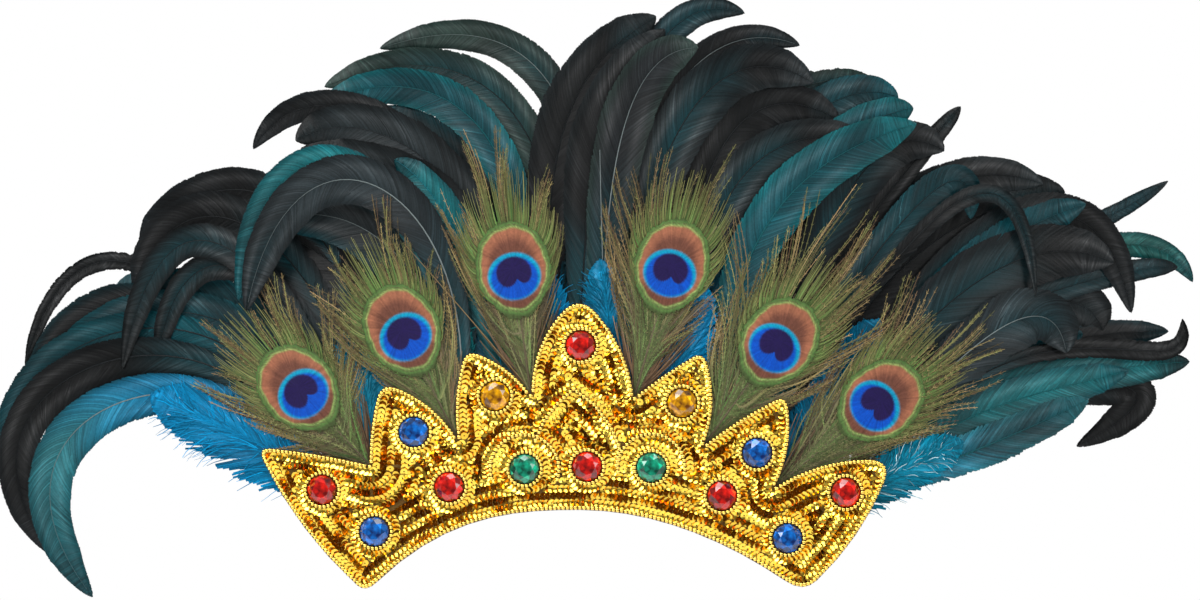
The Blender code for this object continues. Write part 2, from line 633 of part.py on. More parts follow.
def add_eye(shape, row, root):
    """The eye as a low oval boss on the plate's front."""
    along = direction(row.axis)
    aside = Vector((-along.y, along.x))
    middle = root + along * row.eye * row.reach * PEACOCK_LENGTH
    ring = []
    for side in range(EYE_SIDES):
        angle = 2.0 * math.pi * side / EYE_SIDES
        place = middle + along * EYE_LENGTH / 2 * math.cos(angle)
        ring.append(place + aside * EYE_BREADTH / 2 * math.sin(angle))
    raised = [middle + (place - middle) * EYE_BEVEL for place in ring]
    rows = []
    for places, side, rise in ((ring, 0.0, 0.0), (ring, -1.0, 0.5), (raised, -1.0, 1.0)):
        verts = []
        for place in places:
            depth = layer_depth(place.x, place.y, row.layer, side) - rise * EYE_RISE
            verts.append(shape.verts.new((place.x, depth, place.y)))
        rows.append(verts)
    for here, there in zip(rows, rows[1:]):
        for side in range(EYE_SIDES):
            after = (side + 1) % EYE_SIDES
            shape.faces.new((here[side], here[after], there[after], there[side]))
    for verts, rise, side in ((rows[0], 0.0, 0.0), (rows[-1], 1.0, -1.0)):
        depth = layer_depth(middle.x, middle.y, row.layer, side) - rise * EYE_RISE
        centre = shape.verts.new((middle.x, depth, middle.y))
        for index in range(EYE_SIDES):
            shape.faces.new((verts[index], verts[(index + 1) % EYE_SIDES], centre))


def make_peacock(row):
    root = peak_notch(row.peak) - direction(row.axis) * QUILL_HEAD_DROP
    shape = bmesh.new()
    add_plate(shape, row, root)
    item = add_object(row.name, shape, "peacock")
    boss = bmesh.new()
    add_eye(boss, row, root)
    half, rise = QUILL_HEAD_WIDTH / 2, QUILL_HEAD_HEIGHT / 2
    back = row.layer + QUILL_HEAD_BACK
    add_head(boss, root.x - half, root.x + half, root.y - rise, root.y + rise, back)
    fuse(item, "boss_" + row.name, boss)
    return item


def main():
    clear_scene()
    outline = crown_outline()
    make_panel(outline)
    make_piping(outline)
    for gem in GEMS:
        make_gem(gem)
        make_bead_ring(gem)
    for row in PEACOCKS:
        make_peacock(row)
    for index in range(len(BUNCHES)):
        make_bunch(index)


main()
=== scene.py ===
import math
from collections import namedtuple

import bpy
import numpy as np
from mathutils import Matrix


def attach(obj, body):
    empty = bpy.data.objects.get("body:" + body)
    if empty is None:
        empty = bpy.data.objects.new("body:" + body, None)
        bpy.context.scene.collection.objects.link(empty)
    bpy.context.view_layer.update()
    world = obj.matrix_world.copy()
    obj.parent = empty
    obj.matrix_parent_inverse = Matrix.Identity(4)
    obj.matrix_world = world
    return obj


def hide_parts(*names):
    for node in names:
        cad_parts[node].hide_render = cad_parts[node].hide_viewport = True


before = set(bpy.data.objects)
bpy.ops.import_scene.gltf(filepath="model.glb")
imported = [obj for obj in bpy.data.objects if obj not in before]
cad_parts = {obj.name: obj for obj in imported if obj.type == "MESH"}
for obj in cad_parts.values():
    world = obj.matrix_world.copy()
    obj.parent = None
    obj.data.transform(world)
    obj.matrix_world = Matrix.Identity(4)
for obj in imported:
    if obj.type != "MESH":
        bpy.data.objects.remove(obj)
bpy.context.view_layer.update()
WHOLE_TURN = 2.0 * math.pi

# Crown panel, as the CAD has it
CROWN_WIDTH = 0.304
CROWN_HEIGHT = 0.101
CROWN_DROP = 0.040
CROWN_HALF = CROWN_WIDTH / 2
PANEL_THICKNESS = 0.0024
BOW_RADIUS = 0.75
TIP_ROUNDING = 0.010
ARCH_LEFT_POWER = 2.7
ARCH_RIGHT_POWER = 1.95
GAP = 0.0003

# Feather fan, as the CAD has it
FAN_HALF_WIDTH = 0.288
FAN_HEIGHT = 0.245
VANE_BREADTH = 0.024
ROOT_STEP = 0.0009
TIP_STEP = 0.0017
SPREAD_LENGTH = 0.095
SPREAD_RISE = 0.42
SPREAD_FALL = 0.28
SPREAD_ACROSS = 0.88
HEAD_PITCH = 0.027
HEAD_CLEARANCE = 0.002
HEAD_HEIGHT = 0.014
ROOTS_SPREAD = 0.65
PEACOCK_LENGTH = 0.135
HERL_SHORTENING = 0.42
HERL_POWER = 2.5
QUILL_HEAD_WIDTH = 0.004
QUILL_HEAD_HEIGHT = 0.005
QUILL_HEAD_DROP = 0.005
QUILL_HEAD_BACK = 0.9

# Beads, sequins and stones
BEAD = 0.0020
BEAD_RADIUS = 0.00112
BEAD_INSET = 0.0011
RING_BEAD_RADIUS = 0.00108
RING_RADIUS = 0.0082
SEQUIN_RADIUS = 0.0019
SEQUIN_PITCH = 0.0021
SEQUIN_ROW = 0.0034
SEQUIN_TILT = 0.36
EDGE_MARGIN = 0.0020
LINE_MARGIN = 0.0011
LINE_STEP = 0.0006
CORD_STEP = 0.0005
EDGE_LINE, STONE_LINE, CORD_LINE = range(3)
SEQUIN_LEVELS = 12
SEQUIN_SIDES = 9
SEQUIN_LIFT = 0.0009
# A cup sequin's rings: share of its radius, and height of the cup there
SEQUIN_CUP = ((0.2, 0.00026), (0.6, 0.0002), (1.0, 0.0))
GEM_RADIUS = 0.007
GEM_HEIGHT = 0.0042
GIRDLE_HEIGHT = 0.0012
TABLE_RADIUS = 0.0039
# A stone's circles of corners, from the panel out: radius, sides, height, turn in steps
GEM_CIRCLES = (
    (GEM_RADIUS, 16, 0.0, 0.0),
    (GEM_RADIUS, 16, GIRDLE_HEIGHT, 0.0),
    (0.0056, 8, GEM_HEIGHT * 0.72, 0.5),
    (TABLE_RADIUS, 8, GEM_HEIGHT, 0.0),
)

# Feather detail
BARB_PITCH = 0.00066
BARB_WIDTH = 0.00145
BARB_STATIONS = 5
BARB_SWEEP = 1.7
LOCK_LENGTHS = (0.006, 0.012)
LOCK_PULL = 0.32
VANE_CUP = 0.0010
VANE_RIPPLE = 0.0003
SHINGLE = 0.00012
TANGENT_STEP = 0.004
# Where a vane's downy base ends, and the share over which it fades
SHORT_BASE = (0.16, 0.25)
LONG_BASE = (0.28, 0.42)
TIP_FULLNESS = 0.4
SHAFT_RADIUS = 0.0005
# Grey added to the barbs' tint in a painted highlight band across each vane
PAINTED_HIGHLIGHT_GREY = 0.035
TUBE_SIDES = 5
BLADE_LEAN = 0.0001
DOWN_BARBS = 520
DOWN_STATIONS = 9
DOWN_WIDTH = 0.0009
DOWN_LIFT = 0.0012
HERLS = 280
HERL_WIDTH = 0.0006
HERL_STATIONS = 16
HERL_LOCKS = 16
HERL_SWAY = 0.0050
BARBULE_LENGTH = 0.0015
BARBULE_WIDTH = 0.00022
CORONA_BARBS = 560
CORONA_REACH = 0.012
CORONA_WIDTH = 0.00065
FRINGE_BARBS = 240
FRINGE_WIDTH = 0.0010
QUILL_RADIUS = 0.0009
EYE_RINGS = 32
EYE_SECTORS = 144
EYE_ABOVE = 0.0225
EYE_BELOW = 0.0245
EYE_ASIDE = 0.0182
EYE_RIDGE = 0.00010
EYE_CUP = 0.0006
# Half lengths along and across the quill of the eye's copper oval, blue ring and violet heart
EYE_OVAL = (0.0192, 0.0153)
EYE_BLUE = (0.0114, 0.0128)
EYE_HEART = (0.0080, 0.0086)
# Where the corona's barbs start, along and across from the eye's middle
CORONA_START = (0.0205, 0.0168)
# How far the fringe's barbs stand off the quill at their ends, and at their bends
FRINGE_ASIDE = 0.0215
FRINGE_BEND = 0.0085
HEAD_SQUARENESS = 0.28

# The photograph's frame at the crown, and the camera far in front of it
PHOTO_WIDTH = 0.576
PHOTO_MIDDLE_X = 0.0096
PHOTO_MIDDLE_Z = 0.1008
CAMERA_DISTANCE = 12.0
SENSOR_WIDTH = 36.0
CLIP_DISTANCE = 60.0

# The studio: area lights by name, place, size and power, all aimed at one point
WHITE = (1.0, 1.0, 1.0, 1.0)
LIGHT_TARGET = (0.0, 0.0, 0.08)
LIGHTS = (
    ("key", (-1.1, -1.6, 1.4), 1.3, 44.0),
    ("fill", (1.6, -1.4, 0.7), 1.0, 15.0),
    ("top", (0.1, -0.4, 1.9), 1.0, 14.0),
    ("low", (-0.5, -1.8, -0.3), 0.4, 3.0),
    ("front", (0.2, -2.4, 0.8), 0.6, 9.0),
    ("rear", (0.7, 2.2, 1.3), 1.4, 45.0),
)
FLOOR_HALF = 6.0
FLOOR_LEVEL = -0.45

# Places, as the CAD's tables have them
# Across is a share of CROWN_WIDTH / 2 and up of CROWN_HEIGHT, to where the flanks' lines meet.
# Rise and fall are the outward bulges of a peak's two flanks, as shares of their lengths.
# The notch is the one to the peak's right; the last peak falls to the lower right corner.
Peak = namedtuple("Peak", "name across up rounding rise fall notch_across notch_up")
PEAKS = (
    Peak("left_end", -1.023, 0.299, 0.75, 0.055, 0.02, -0.666, 0.214),
    Peak("left_outer", -0.628, 0.604, 0.75, 0.04, 0.10, -0.388, 0.342),
    Peak("left_inner", -0.360, 0.760, 0.60, 0.06, 0.09, -0.155, 0.551),
    Peak("centre", -0.003, 1.017, 0.95, 0.12, 0.10, 0.171, 0.537),
    Peak("right_inner", 0.388, 0.756, 0.60, 0.02, 0.10, 0.392, 0.309),
    Peak("right_outer", 0.651, 0.547, 0.60, 0.03, 0.09, 0.616, 0.109),
    Peak("right_end", 0.988, 0.233, 1.05, 0.09, 0.07, None, None),
)
LOWER_LEFT_ACROSS = -0.676
LOWER_LEFT_ROUNDING = 0.55
LOWER_RIGHT_ACROSS = 0.704
LOWER_RIGHT_ROUNDING = 0.85

# Stones: shares of CROWN_WIDTH / 2 and CROWN_HEIGHT
Gem = namedtuple("Gem", "name colour across up")
GEMS = (
    Gem("red_top", "red", 0.002, 0.782),
    Gem("red_centre", "red", 0.022, 0.206),
    Gem("amber_left", "amber", -0.268, 0.542),
    Gem("amber_right", "amber", 0.322, 0.509),
    Gem("green_left", "green", -0.175, 0.195),
    Gem("green_right", "green", 0.225, 0.202),
    Gem("blue_left_upper", "blue", -0.525, 0.371),
    Gem("blue_right_upper", "blue", 0.559, 0.271),
    Gem("red_left_lower", "red", -0.413, 0.109),
    Gem("red_right_lower", "red", 0.448, 0.067),
    Gem("blue_left_lower", "blue", -0.649, -0.103),
    Gem("blue_right_lower", "blue", 0.655, -0.135),
    Gem("red_left_end", "red", -0.815, 0.095),
    Gem("red_right_end", "red", 0.839, 0.082),
)

# Peacock feathers, each rising from the notch after the named peak. Angles in degrees from +X:
# the quill's, then the lower and upper limits of its fan of herls. Reach is a share of
# PEACOCK_LENGTH, eye the distance of the eye's middle as a share of that reach.
Peacock = namedtuple("Peacock", "name peak axis low high reach eye layer")
PEACOCKS = (
    Peacock("peacock_left_outer", "left_end", 133, 97, 168, 0.84, 0.49, 4),
    Peacock("peacock_left_middle", "left_outer", 117, 94, 141, 0.98, 0.48, 1),
    Peacock("peacock_left_inner", "left_inner", 98, 80, 121, 1.02, 0.48, 0),
    Peacock("peacock_right_inner", "centre", 74, 55, 99, 0.99, 0.53, 1),
    Peacock("peacock_right_middle", "right_inner", 54, 30, 87, 1.07, 0.46, 0),
    Peacock("peacock_right_outer", "right_outer", 39, 15, 63, 1.07, 0.49, 1),
)

# Bunches from left to right. Up is the height of the head's middle, as a share of CROWN_HEIGHT.
Bunch = namedtuple("Bunch", "name up")
BUNCHES = (
    Bunch("left_low", 0.04),
    Bunch("left_mid", 0.0),
    Bunch("left_high", 0.12),
    Bunch("left_top", 0.22),
    Bunch("crest_left", 0.32),
    Bunch("crest_right", 0.32),
    Bunch("right_top", 0.22),
    Bunch("right_high", 0.10),
    Bunch("right_mid", -0.07),
    Bunch("right_low", -0.03),
)

# Vanes: the centreline passes a point a third of the way, one at two thirds, and ends at its
# tip. Across is a share of FAN_HALF_WIDTH, up of FAN_HEIGHT, breadth of VANE_BREADTH.
# Layers count from the front.
Vane = namedtuple("Vane", "bunch name shape across1 up1 across2 up2 across3 up3 breadth layer")
VANES = (
    Vane("left_low", "down", "down", -0.497, 0.102, -0.580, 0.153, -0.717, 0.225, 1.5, 5),
    Vane("left_low", "sweep_teal", "vane", -0.635, 0.225, -0.857, 0.137, -0.817, -0.171, 0.96, 6),
    Vane("left_low", "sweep_dark", "vane", -0.650, 0.294, -0.900, 0.216, -0.883, -0.090, 0.88, 8),
    Vane("left_low", "sweep_outer", "vane", -0.640, 0.345, -0.897, 0.270, -0.913, -0.020, 0.8, 10),
    Vane("left_low", "thin_arc", "vane", -0.650, 0.412, -0.825, 0.478, -0.930, 0.278, 0.36, 14),
    Vane("left_mid", "down", "down", -0.347, 0.137, -0.358, 0.235, -0.392, 0.353, 1.2, 5),
    Vane("left_mid", "hook_low", "vane", -0.467, 0.353, -0.633, 0.529, -0.765, 0.278, 0.68, 7),
    Vane("left_mid", "hook_high", "vane", -0.450, 0.353, -0.608, 0.480, -0.708, 0.278, 0.6, 9),
    Vane("left_mid", "shade", "vane", -0.463, 0.265, -0.667, 0.388, -0.883, 0.290, 0.9, 11),
    Vane("left_mid", "blunt_low", "vane", -0.460, 0.450, -0.633, 0.575, -0.737, 0.412, 1.0, 12),
    Vane("left_mid", "blunt_high", "vane", -0.417, 0.505, -0.592, 0.628, -0.733, 0.520, 0.9, 13),
    Vane("left_high", "down", "down", -0.233, 0.176, -0.220, 0.275, -0.233, 0.412, 1.2, 4),
    Vane("left_high", "arch_grey", "vane", -0.233, 0.490, -0.403, 0.647, -0.557, 0.392, 1.0, 2),
    Vane("left_high", "arch_teal", "vane", -0.267, 0.520, -0.440, 0.680, -0.570, 0.412, 0.72, 3),
    Vane("left_high", "broad_grey", "vane", -0.200, 0.412, -0.250, 0.608, -0.467, 0.706, 1.2, 6),
    Vane("left_top", "stem_teal", "vane", -0.133, 0.294, -0.200, 0.529, -0.308, 0.686, 0.8, 5),
    Vane("left_top", "top_grey", "vane", -0.150, 0.500, -0.300, 0.720, -0.473, 0.725, 1.1, 7),
    Vane("left_top", "inner_dark", "vane", -0.217, 0.333, -0.333, 0.529, -0.517, 0.569, 1.2, 8),
    Vane("left_top", "top_black", "vane", -0.167, 0.540, -0.358, 0.778, -0.545, 0.710, 0.66, 9),
    Vane("left_top", "top_teal", "vane", -0.100, 0.559, -0.217, 0.800, -0.432, 0.800, 0.84, 10),
    Vane("crest_left", "down", "down", -0.045, 0.235, -0.053, 0.333, -0.062, 0.471, 1.2, 4),
    Vane("crest_left", "crest_inner", "vane", 0.008, 0.510, 0.033, 0.745, 0.140, 0.941, 1.12, 6),
    Vane("crest_left", "crest_black", "vane", -0.053, 0.549, -0.008, 0.804, 0.125, 0.967, 1.2, 9),
    Vane("crest_left", "crest_green", "vane", -0.053, 0.627, -0.192, 0.852, -0.425, 0.831, 0.8, 11),
    Vane("crest_left", "crest_lone", "vane", 0.008, 0.608, -0.090, 0.886, -0.333, 0.906, 0.64, 14),
    Vane("crest_right", "down", "down", 0.053, 0.255, 0.050, 0.353, 0.033, 0.490, 1.1, 3),
    Vane("crest_right", "crest_grey", "vane", 0.042, 0.490, 0.083, 0.784, 0.195, 0.906, 1.04, 5),
    Vane("crest_right", "crest_fall", "vane", 0.100, 0.529, 0.208, 0.814, 0.388, 0.839, 1.12, 7),
    Vane("crest_right", "crest_shaft", "vane", 0.075, 0.569, 0.183, 0.859, 0.365, 0.912, 0.68, 8),
    Vane("crest_right", "crest_spike", "vane", 0.050, 0.549, 0.117, 0.882, 0.273, 0.975, 0.68, 10),
    Vane("right_top", "down", "down", 0.147, 0.216, 0.167, 0.314, 0.200, 0.451, 1.4, 4),
    Vane("right_top", "black_low", "vane", 0.200, 0.471, 0.300, 0.686, 0.483, 0.725, 0.92, 6),
    Vane("right_top", "black_high", "vane", 0.183, 0.529, 0.275, 0.765, 0.433, 0.765, 1.0, 9),
    Vane("right_top", "teal_black", "vane", 0.217, 0.490, 0.367, 0.755, 0.530, 0.810, 0.92, 10),
    Vane("right_top", "wispy", "vane", 0.167, 0.549, 0.308, 0.788, 0.487, 0.847, 0.56, 12),
    Vane("right_high", "down", "down", 0.275, 0.157, 0.300, 0.255, 0.325, 0.412, 1.0, 3),
    Vane("right_high", "teal_broad", "vane", 0.258, 0.412, 0.367, 0.637, 0.560, 0.757, 1.08, 5),
    Vane("right_high", "curl_teal", "vane", 0.417, 0.373, 0.583, 0.618, 0.653, 0.573, 0.72, 6),
    Vane("right_high", "teal_leaf", "vane", 0.283, 0.471, 0.417, 0.706, 0.555, 0.788, 0.92, 7),
    Vane("right_high", "black_hook", "vane", 0.367, 0.431, 0.483, 0.676, 0.607, 0.706, 1.0, 8),
    Vane("right_high", "spike_up", "vane", 0.383, 0.392, 0.533, 0.647, 0.635, 0.790, 0.44, 11),
    Vane("right_high", "arch_black", "vane", 0.400, 0.400, 0.575, 0.617, 0.773, 0.641, 0.9, 12),
    Vane("right_mid", "down", "down", 0.383, 0.137, 0.430, 0.245, 0.500, 0.373, 1.1, 5),
    Vane("right_mid", "dark_broad", "vane", 0.488, 0.245, 0.683, 0.461, 0.892, 0.486, 1.2, 7),
    Vane("right_mid", "teal_reach", "vane", 0.500, 0.275, 0.667, 0.486, 0.845, 0.600, 0.88, 9),
    Vane("right_mid", "ribbon_black", "vane", 0.533, 0.363, 0.767, 0.577, 0.923, 0.388, 0.68, 10),
    Vane("right_mid", "small_leaf", "vane", 0.517, 0.265, 0.800, 0.431, 1.000, 0.476, 0.52, 11),
    Vane("right_mid", "curl_leaf", "vane", 0.567, 0.310, 0.842, 0.506, 1.027, 0.449, 0.56, 14),
    Vane("right_mid", "spike_right", "vane", 0.550, 0.314, 0.783, 0.510, 0.985, 0.645, 0.4, 15),
    Vane("right_low", "down", "down", 0.490, 0.047, 0.550, 0.086, 0.640, 0.132, 1.0, 3),
    Vane("right_low", "grey_fall", "vane", 0.583, 0.235, 0.733, 0.373, 0.813, 0.310, 1.2, 4),
    Vane("right_low", "grey_low", "vane", 0.567, 0.072, 0.700, 0.135, 0.850, 0.216, 1.1, 6),
    Vane("right_low", "teal_under", "vane", 0.583, 0.137, 0.733, 0.216, 0.917, 0.271, 0.88, 8),
    Vane("right_low", "teal_long", "vane", 0.583, 0.170, 0.800, 0.258, 1.020, 0.290, 0.88, 10),
    Vane("right_low", "dark_arch", "vane", 0.583, 0.300, 0.767, 0.412, 0.875, 0.353, 1.2, 13),
    Vane("right_low", "droop_black", "vane", 0.633, 0.190, 0.897, 0.245, 0.833, 0.124, 0.6, 14),
)
LAYERS = 1 + max(row.layer for row in VANES)

# Half breadth along a vane, as shares of half its full breadth
Shape = namedtuple("Shape", "along vane down")
SHAPES = (
    Shape(0.0, 0.08, 0.12),
    Shape(0.1, 0.17, 0.45),
    Shape(0.25, 0.52, 0.85),
    Shape(0.45, 0.88, 1.0),
    Shape(0.65, 1.0, 0.95),
    Shape(0.82, 0.84, 0.75),
    Shape(0.93, 0.5, 0.45),
    Shape(1.0, 0.0, 0.0),
)

# Looks of the vanes: colour of the downy base, of the vane, of its outer edge and of the shaft,
# how far the barbs part into locks, and how much of the outline frays.
Look = namedtuple("Look", "base vane edge shaft locks fray")
LOOKS = {
    "sweep_teal": Look("blue", "grey_teal", "deep_teal", "pale", 0.35, 0.05),
    "sweep_dark": Look("deep_teal", "black", "soft_black", "dark", 0.30, 0.06),
    "sweep_outer": Look("deep_teal", "dark_teal", "deep_teal", "dark", 0.35, 0.08),
    "thin_arc": Look("black", "black", "black", "dark", 0.8, 0.2),
    "hook_low": Look("deep_teal", "grey_black", "black", "dark", 0.4, 0.08),
    "hook_high": Look("deep_teal", "black", "soft_black", "dark", 0.4, 0.06),
    "shade": Look("dark_teal", "teal_black", "deep_teal", "dark", 0.5, 0.10),
    "blunt_low": Look("black", "black", "soft_black", "dark", 0.35, 0.05),
    "blunt_high": Look("black", "black", "soft_black", "dark", 0.35, 0.05),
    "arch_grey": Look("dark_teal", "grey", "soft_black", "pale", 0.3, 0.08),
    "arch_teal": Look("dark_teal", "teal", "deep_teal", "teal", 0.3, 0.08),
    "broad_grey": Look("dark_teal", "grey_black", "black", "dark", 0.3, 0.06),
    "stem_teal": Look("teal", "teal", "deep_teal", "cyan", 0.3, 0.08),
    "top_grey": Look("deep_teal", "grey_black", "black", "dark", 0.35, 0.06),
    "inner_dark": Look("deep_teal", "grey_black", "deep_teal", "pale", 0.3, 0.06),
    "top_black": Look("black", "black", "soft_black", "dark", 0.35, 0.06),
    "top_teal": Look("deep_teal", "dark_teal", "teal", "teal", 0.4, 0.12),
    "crest_inner": Look("deep_teal", "black", "grey_black", "dark", 0.25, 0.05),
    "crest_black": Look("black", "black", "grey_black", "dark", 0.3, 0.05),
    "crest_green": Look("deep_teal", "green_black", "grey_green", "dark", 0.35, 0.06),
    "crest_lone": Look("grey_green", "grey_green", "green_black", "pale", 0.3, 0.05),
    "crest_grey": Look("dark_teal", "soft_black", "grey_green", "pale", 0.3, 0.05),
    "crest_fall": Look("deep_teal", "black", "grey_black", "dark", 0.35, 0.06),
    "crest_shaft": Look("black", "black", "soft_black", "pale", 0.3, 0.06),
    "crest_spike": Look("deep_teal", "teal_black", "black", "dark", 0.3, 0.06),
    "black_low": Look("dark_teal", "black", "grey_black", "dark", 0.3, 0.06),
    "black_high": Look("deep_teal", "black", "soft_black", "dark", 0.3, 0.06),
    "teal_black": Look("teal", "teal_black", "dark_teal", "dark", 0.35, 0.08),
    "wispy": Look("deep_teal", "grey_green", "green_black", "dark", 0.9, 0.35),
    "teal_broad": Look("teal", "dark_teal", "teal", "teal", 0.3, 0.08),
    "curl_teal": Look("dark_teal", "teal_black", "deep_teal", "dark", 0.4, 0.08),
    "teal_leaf": Look("dark_teal", "dark_teal", "teal", "dark", 0.3, 0.06),
    "black_hook": Look("black", "black", "soft_black", "dark", 0.3, 0.05),
    "spike_up": Look("black", "black", "black", "dark", 0.4, 0.08),
    "arch_black": Look("deep_teal", "black", "grey_black", "dark", 0.35, 0.06),
    "dark_broad": Look("deep_teal", "black", "soft_black", "dark", 0.35, 0.06),
    "teal_reach": Look("teal", "dark_teal", "deep_teal", "dark", 0.5, 0.15),
    "ribbon_black": Look("black", "black", "soft_black", "dark", 0.3, 0.05),
    "small_leaf": Look("deep_teal", "teal_black", "black", "dark", 0.4, 0.10),
    "curl_leaf": Look("dark_teal", "green_teal", "deep_teal", "dark", 0.4, 0.10),
    "spike_right": Look("black", "teal_black", "black", "dark", 0.5, 0.10),
    "grey_fall": Look("deep_teal", "grey", "grey_black", "pale", 0.5, 0.14),
    "grey_low": Look("cyan", "dark_teal", "grey_teal", "teal", 0.5, 0.25),
    "teal_under": Look("teal", "teal", "dark_teal", "teal", 0.4, 0.12),
    "teal_long": Look("dark_teal", "teal", "black", "teal", 0.4, 0.10),
    "dark_arch": Look("dark_teal", "grey_black", "black", "dark", 0.35, 0.06),
    "droop_black": Look("deep_teal", "black", "black", "dark", 0.5, 0.10),
    "fill_top": Look("deep_teal", "black", "deep_teal", "dark", 0.3, 0.05),
    "fill_low": Look("dark_teal", "teal_black", "dark_teal", "dark", 0.3, 0.05),
    "fill_end": Look("deep_teal", "black", "teal_black", "dark", 0.3, 0.05),
    "fill_left": Look("deep_teal", "black", "teal_black", "dark", 0.3, 0.05),
    "fill_inner": Look("dark_teal", "black", "deep_teal", "dark", 0.3, 0.05),
    "fill_crest": Look("deep_teal", "black", "black", "dark", 0.3, 0.05),
    "fill_centre": Look("deep_teal", "black", "black", "dark", 0.3, 0.05),
    "fill_right": Look("dark_teal", "black", "deep_teal", "dark", 0.3, 0.05),
    "fill_high": Look("deep_teal", "black", "teal_black", "dark", 0.3, 0.05),
    "fill_mid": Look("deep_teal", "black", "black", "dark", 0.3, 0.05),
    "fill_reach": Look("dark_teal", "teal_black", "black", "dark", 0.3, 0.05),
    "fill_under": Look("dark_teal", "dark_teal", "teal_black", "dark", 0.3, 0.05),
    "fill_tip": Look("deep_teal", "black", "teal_black", "dark", 0.6, 0.2),
    "front_curl": Look("dark_teal", "black", "black", "dark", 0.7, 0.20),
    "front_fall": Look("black", "black", "grey_black", "dark", 0.5, 0.15),
    "fill_edge": Look("dark_teal", "black", "deep_teal", "dark", 0.3, 0.05),
    "fill_gap": Look("dark_teal", "black", "deep_teal", "dark", 0.3, 0.05),
    "fill_dark": Look("dark_teal", "teal_black", "black", "dark", 0.3, 0.05),
    "fill_foot": Look("blue_teal", "down_teal", "teal_black", "dark", 0.6, 0.2),
}
# Feathers behind the others that close the fan, and two in front, named and shaped as the vanes
FILLERS = (
    Vane("left_top", "fill_top", "vane", -0.100, 0.450, -0.190, 0.660, -0.335, 0.785, 1.1, 11),
    Vane("left_low", "fill_low", "vane", -0.440, 0.260, -0.600, 0.400, -0.780, 0.430, 1.1, 13),
    Vane("left_low", "fill_end", "vane", -0.600, 0.330, -0.790, 0.390, -0.915, 0.230, 1.0, 12),
    Vane("left_high", "fill_left", "vane", -0.300, 0.310, -0.400, 0.470, -0.530, 0.560, 1.3, 13),
    Vane("left_high", "fill_inner", "vane", -0.230, 0.330, -0.300, 0.500, -0.420, 0.620, 1.2, 14),
    Vane("crest_left", "fill_crest", "vane", -0.080, 0.430, -0.110, 0.620, -0.170, 0.760, 1.2, 12),
    Vane("crest_right", "fill_centre", "vane", 0.030, 0.400, 0.060, 0.600, 0.120, 0.800, 1.4, 13),
    Vane("right_top", "fill_right", "vane", 0.240, 0.330, 0.330, 0.500, 0.430, 0.670, 1.3, 13),
    Vane("right_high", "fill_high", "vane", 0.330, 0.300, 0.470, 0.500, 0.620, 0.640, 1.2, 14),
    Vane("right_mid", "fill_mid", "vane", 0.440, 0.330, 0.610, 0.540, 0.810, 0.625, 1.4, 13),
    Vane("right_mid", "fill_reach", "vane", 0.470, 0.250, 0.650, 0.430, 0.850, 0.560, 1.2, 12),
    Vane("right_low", "fill_under", "vane", 0.550, 0.200, 0.700, 0.300, 0.840, 0.345, 1.0, 12),
    Vane("right_low", "fill_tip", "vane", 0.620, 0.230, 0.810, 0.330, 0.985, 0.350, 0.6, 13),
    Vane("right_low", "front_curl", "vane", 0.720, 0.290, 0.935, 0.312, 1.010, 0.372, 0.40, 7),
    Vane("left_low", "fill_edge", "vane", -0.610, 0.262, -0.788, 0.241, -0.895, 0.131, 0.55, 13),
    Vane("right_top", "fill_gap", "vane", 0.140, 0.380, 0.185, 0.580, 0.250, 0.760, 1.5, 14),
    Vane("left_high", "fill_dark", "vane", -0.290, 0.260, -0.390, 0.370, -0.500, 0.460, 1.4, 14),
    Vane("left_mid", "fill_foot", "vane", -0.360, 0.130, -0.430, 0.190, -0.500, 0.240, 1.6, 9),
    Vane("left_top", "fill_foot", "vane", -0.130, 0.240, -0.150, 0.360, -0.170, 0.500, 2.0, 9),
    Vane("crest_left", "fill_foot", "vane", -0.050, 0.260, -0.060, 0.380, -0.070, 0.500, 2.0, 9),
    Vane("crest_right", "fill_foot", "vane", 0.040, 0.260, 0.050, 0.380, 0.060, 0.500, 2.0, 9),
    Vane("right_top", "fill_foot", "vane", 0.150, 0.230, 0.190, 0.380, 0.240, 0.560, 2.2, 9),
    Vane("right_high", "fill_foot", "vane", 0.240, 0.190, 0.290, 0.300, 0.350, 0.400, 2.0, 9),
    Vane("right_top", "fill_foot", "vane", 0.190, 0.280, 0.235, 0.400, 0.290, 0.560, 1.6, 11),
    Vane("right_high", "front_fall", "vane", 0.480, 0.420, 0.665, 0.620, 0.762, 0.420, 0.36, 4),
    Vane("right_mid", "fill_foot", "vane", 0.340, 0.150, 0.410, 0.220, 0.480, 0.290, 1.8, 9),
)
# Feathers that are fuller here than their closed solids
FULLER = {
    "ribbon_black": 1.35,
    "droop_black": 1.45,
    "crest_lone": 1.12,
    "dark_broad": 1.1,
    "grey_low": 0.74,
}
# Feathers whose downy base is long
LONG_BASES = ("sweep_teal", "grey_low", "teal_under")
DOWNS = {
    "left_low": "blue",
    "left_mid": "down_teal",
    "left_high": "teal",
    "left_top": "teal",
    "crest_left": "blue",
    "crest_right": "blue_teal",
    "right_top": "blue",
    "right_high": "teal",
    "right_mid": "blue_teal",
    "right_low": "cyan",
}
# Shares of pale wisps in the down at the fan's two ends
WISPS = {"left_low": 0.01, "right_low": 0.16}
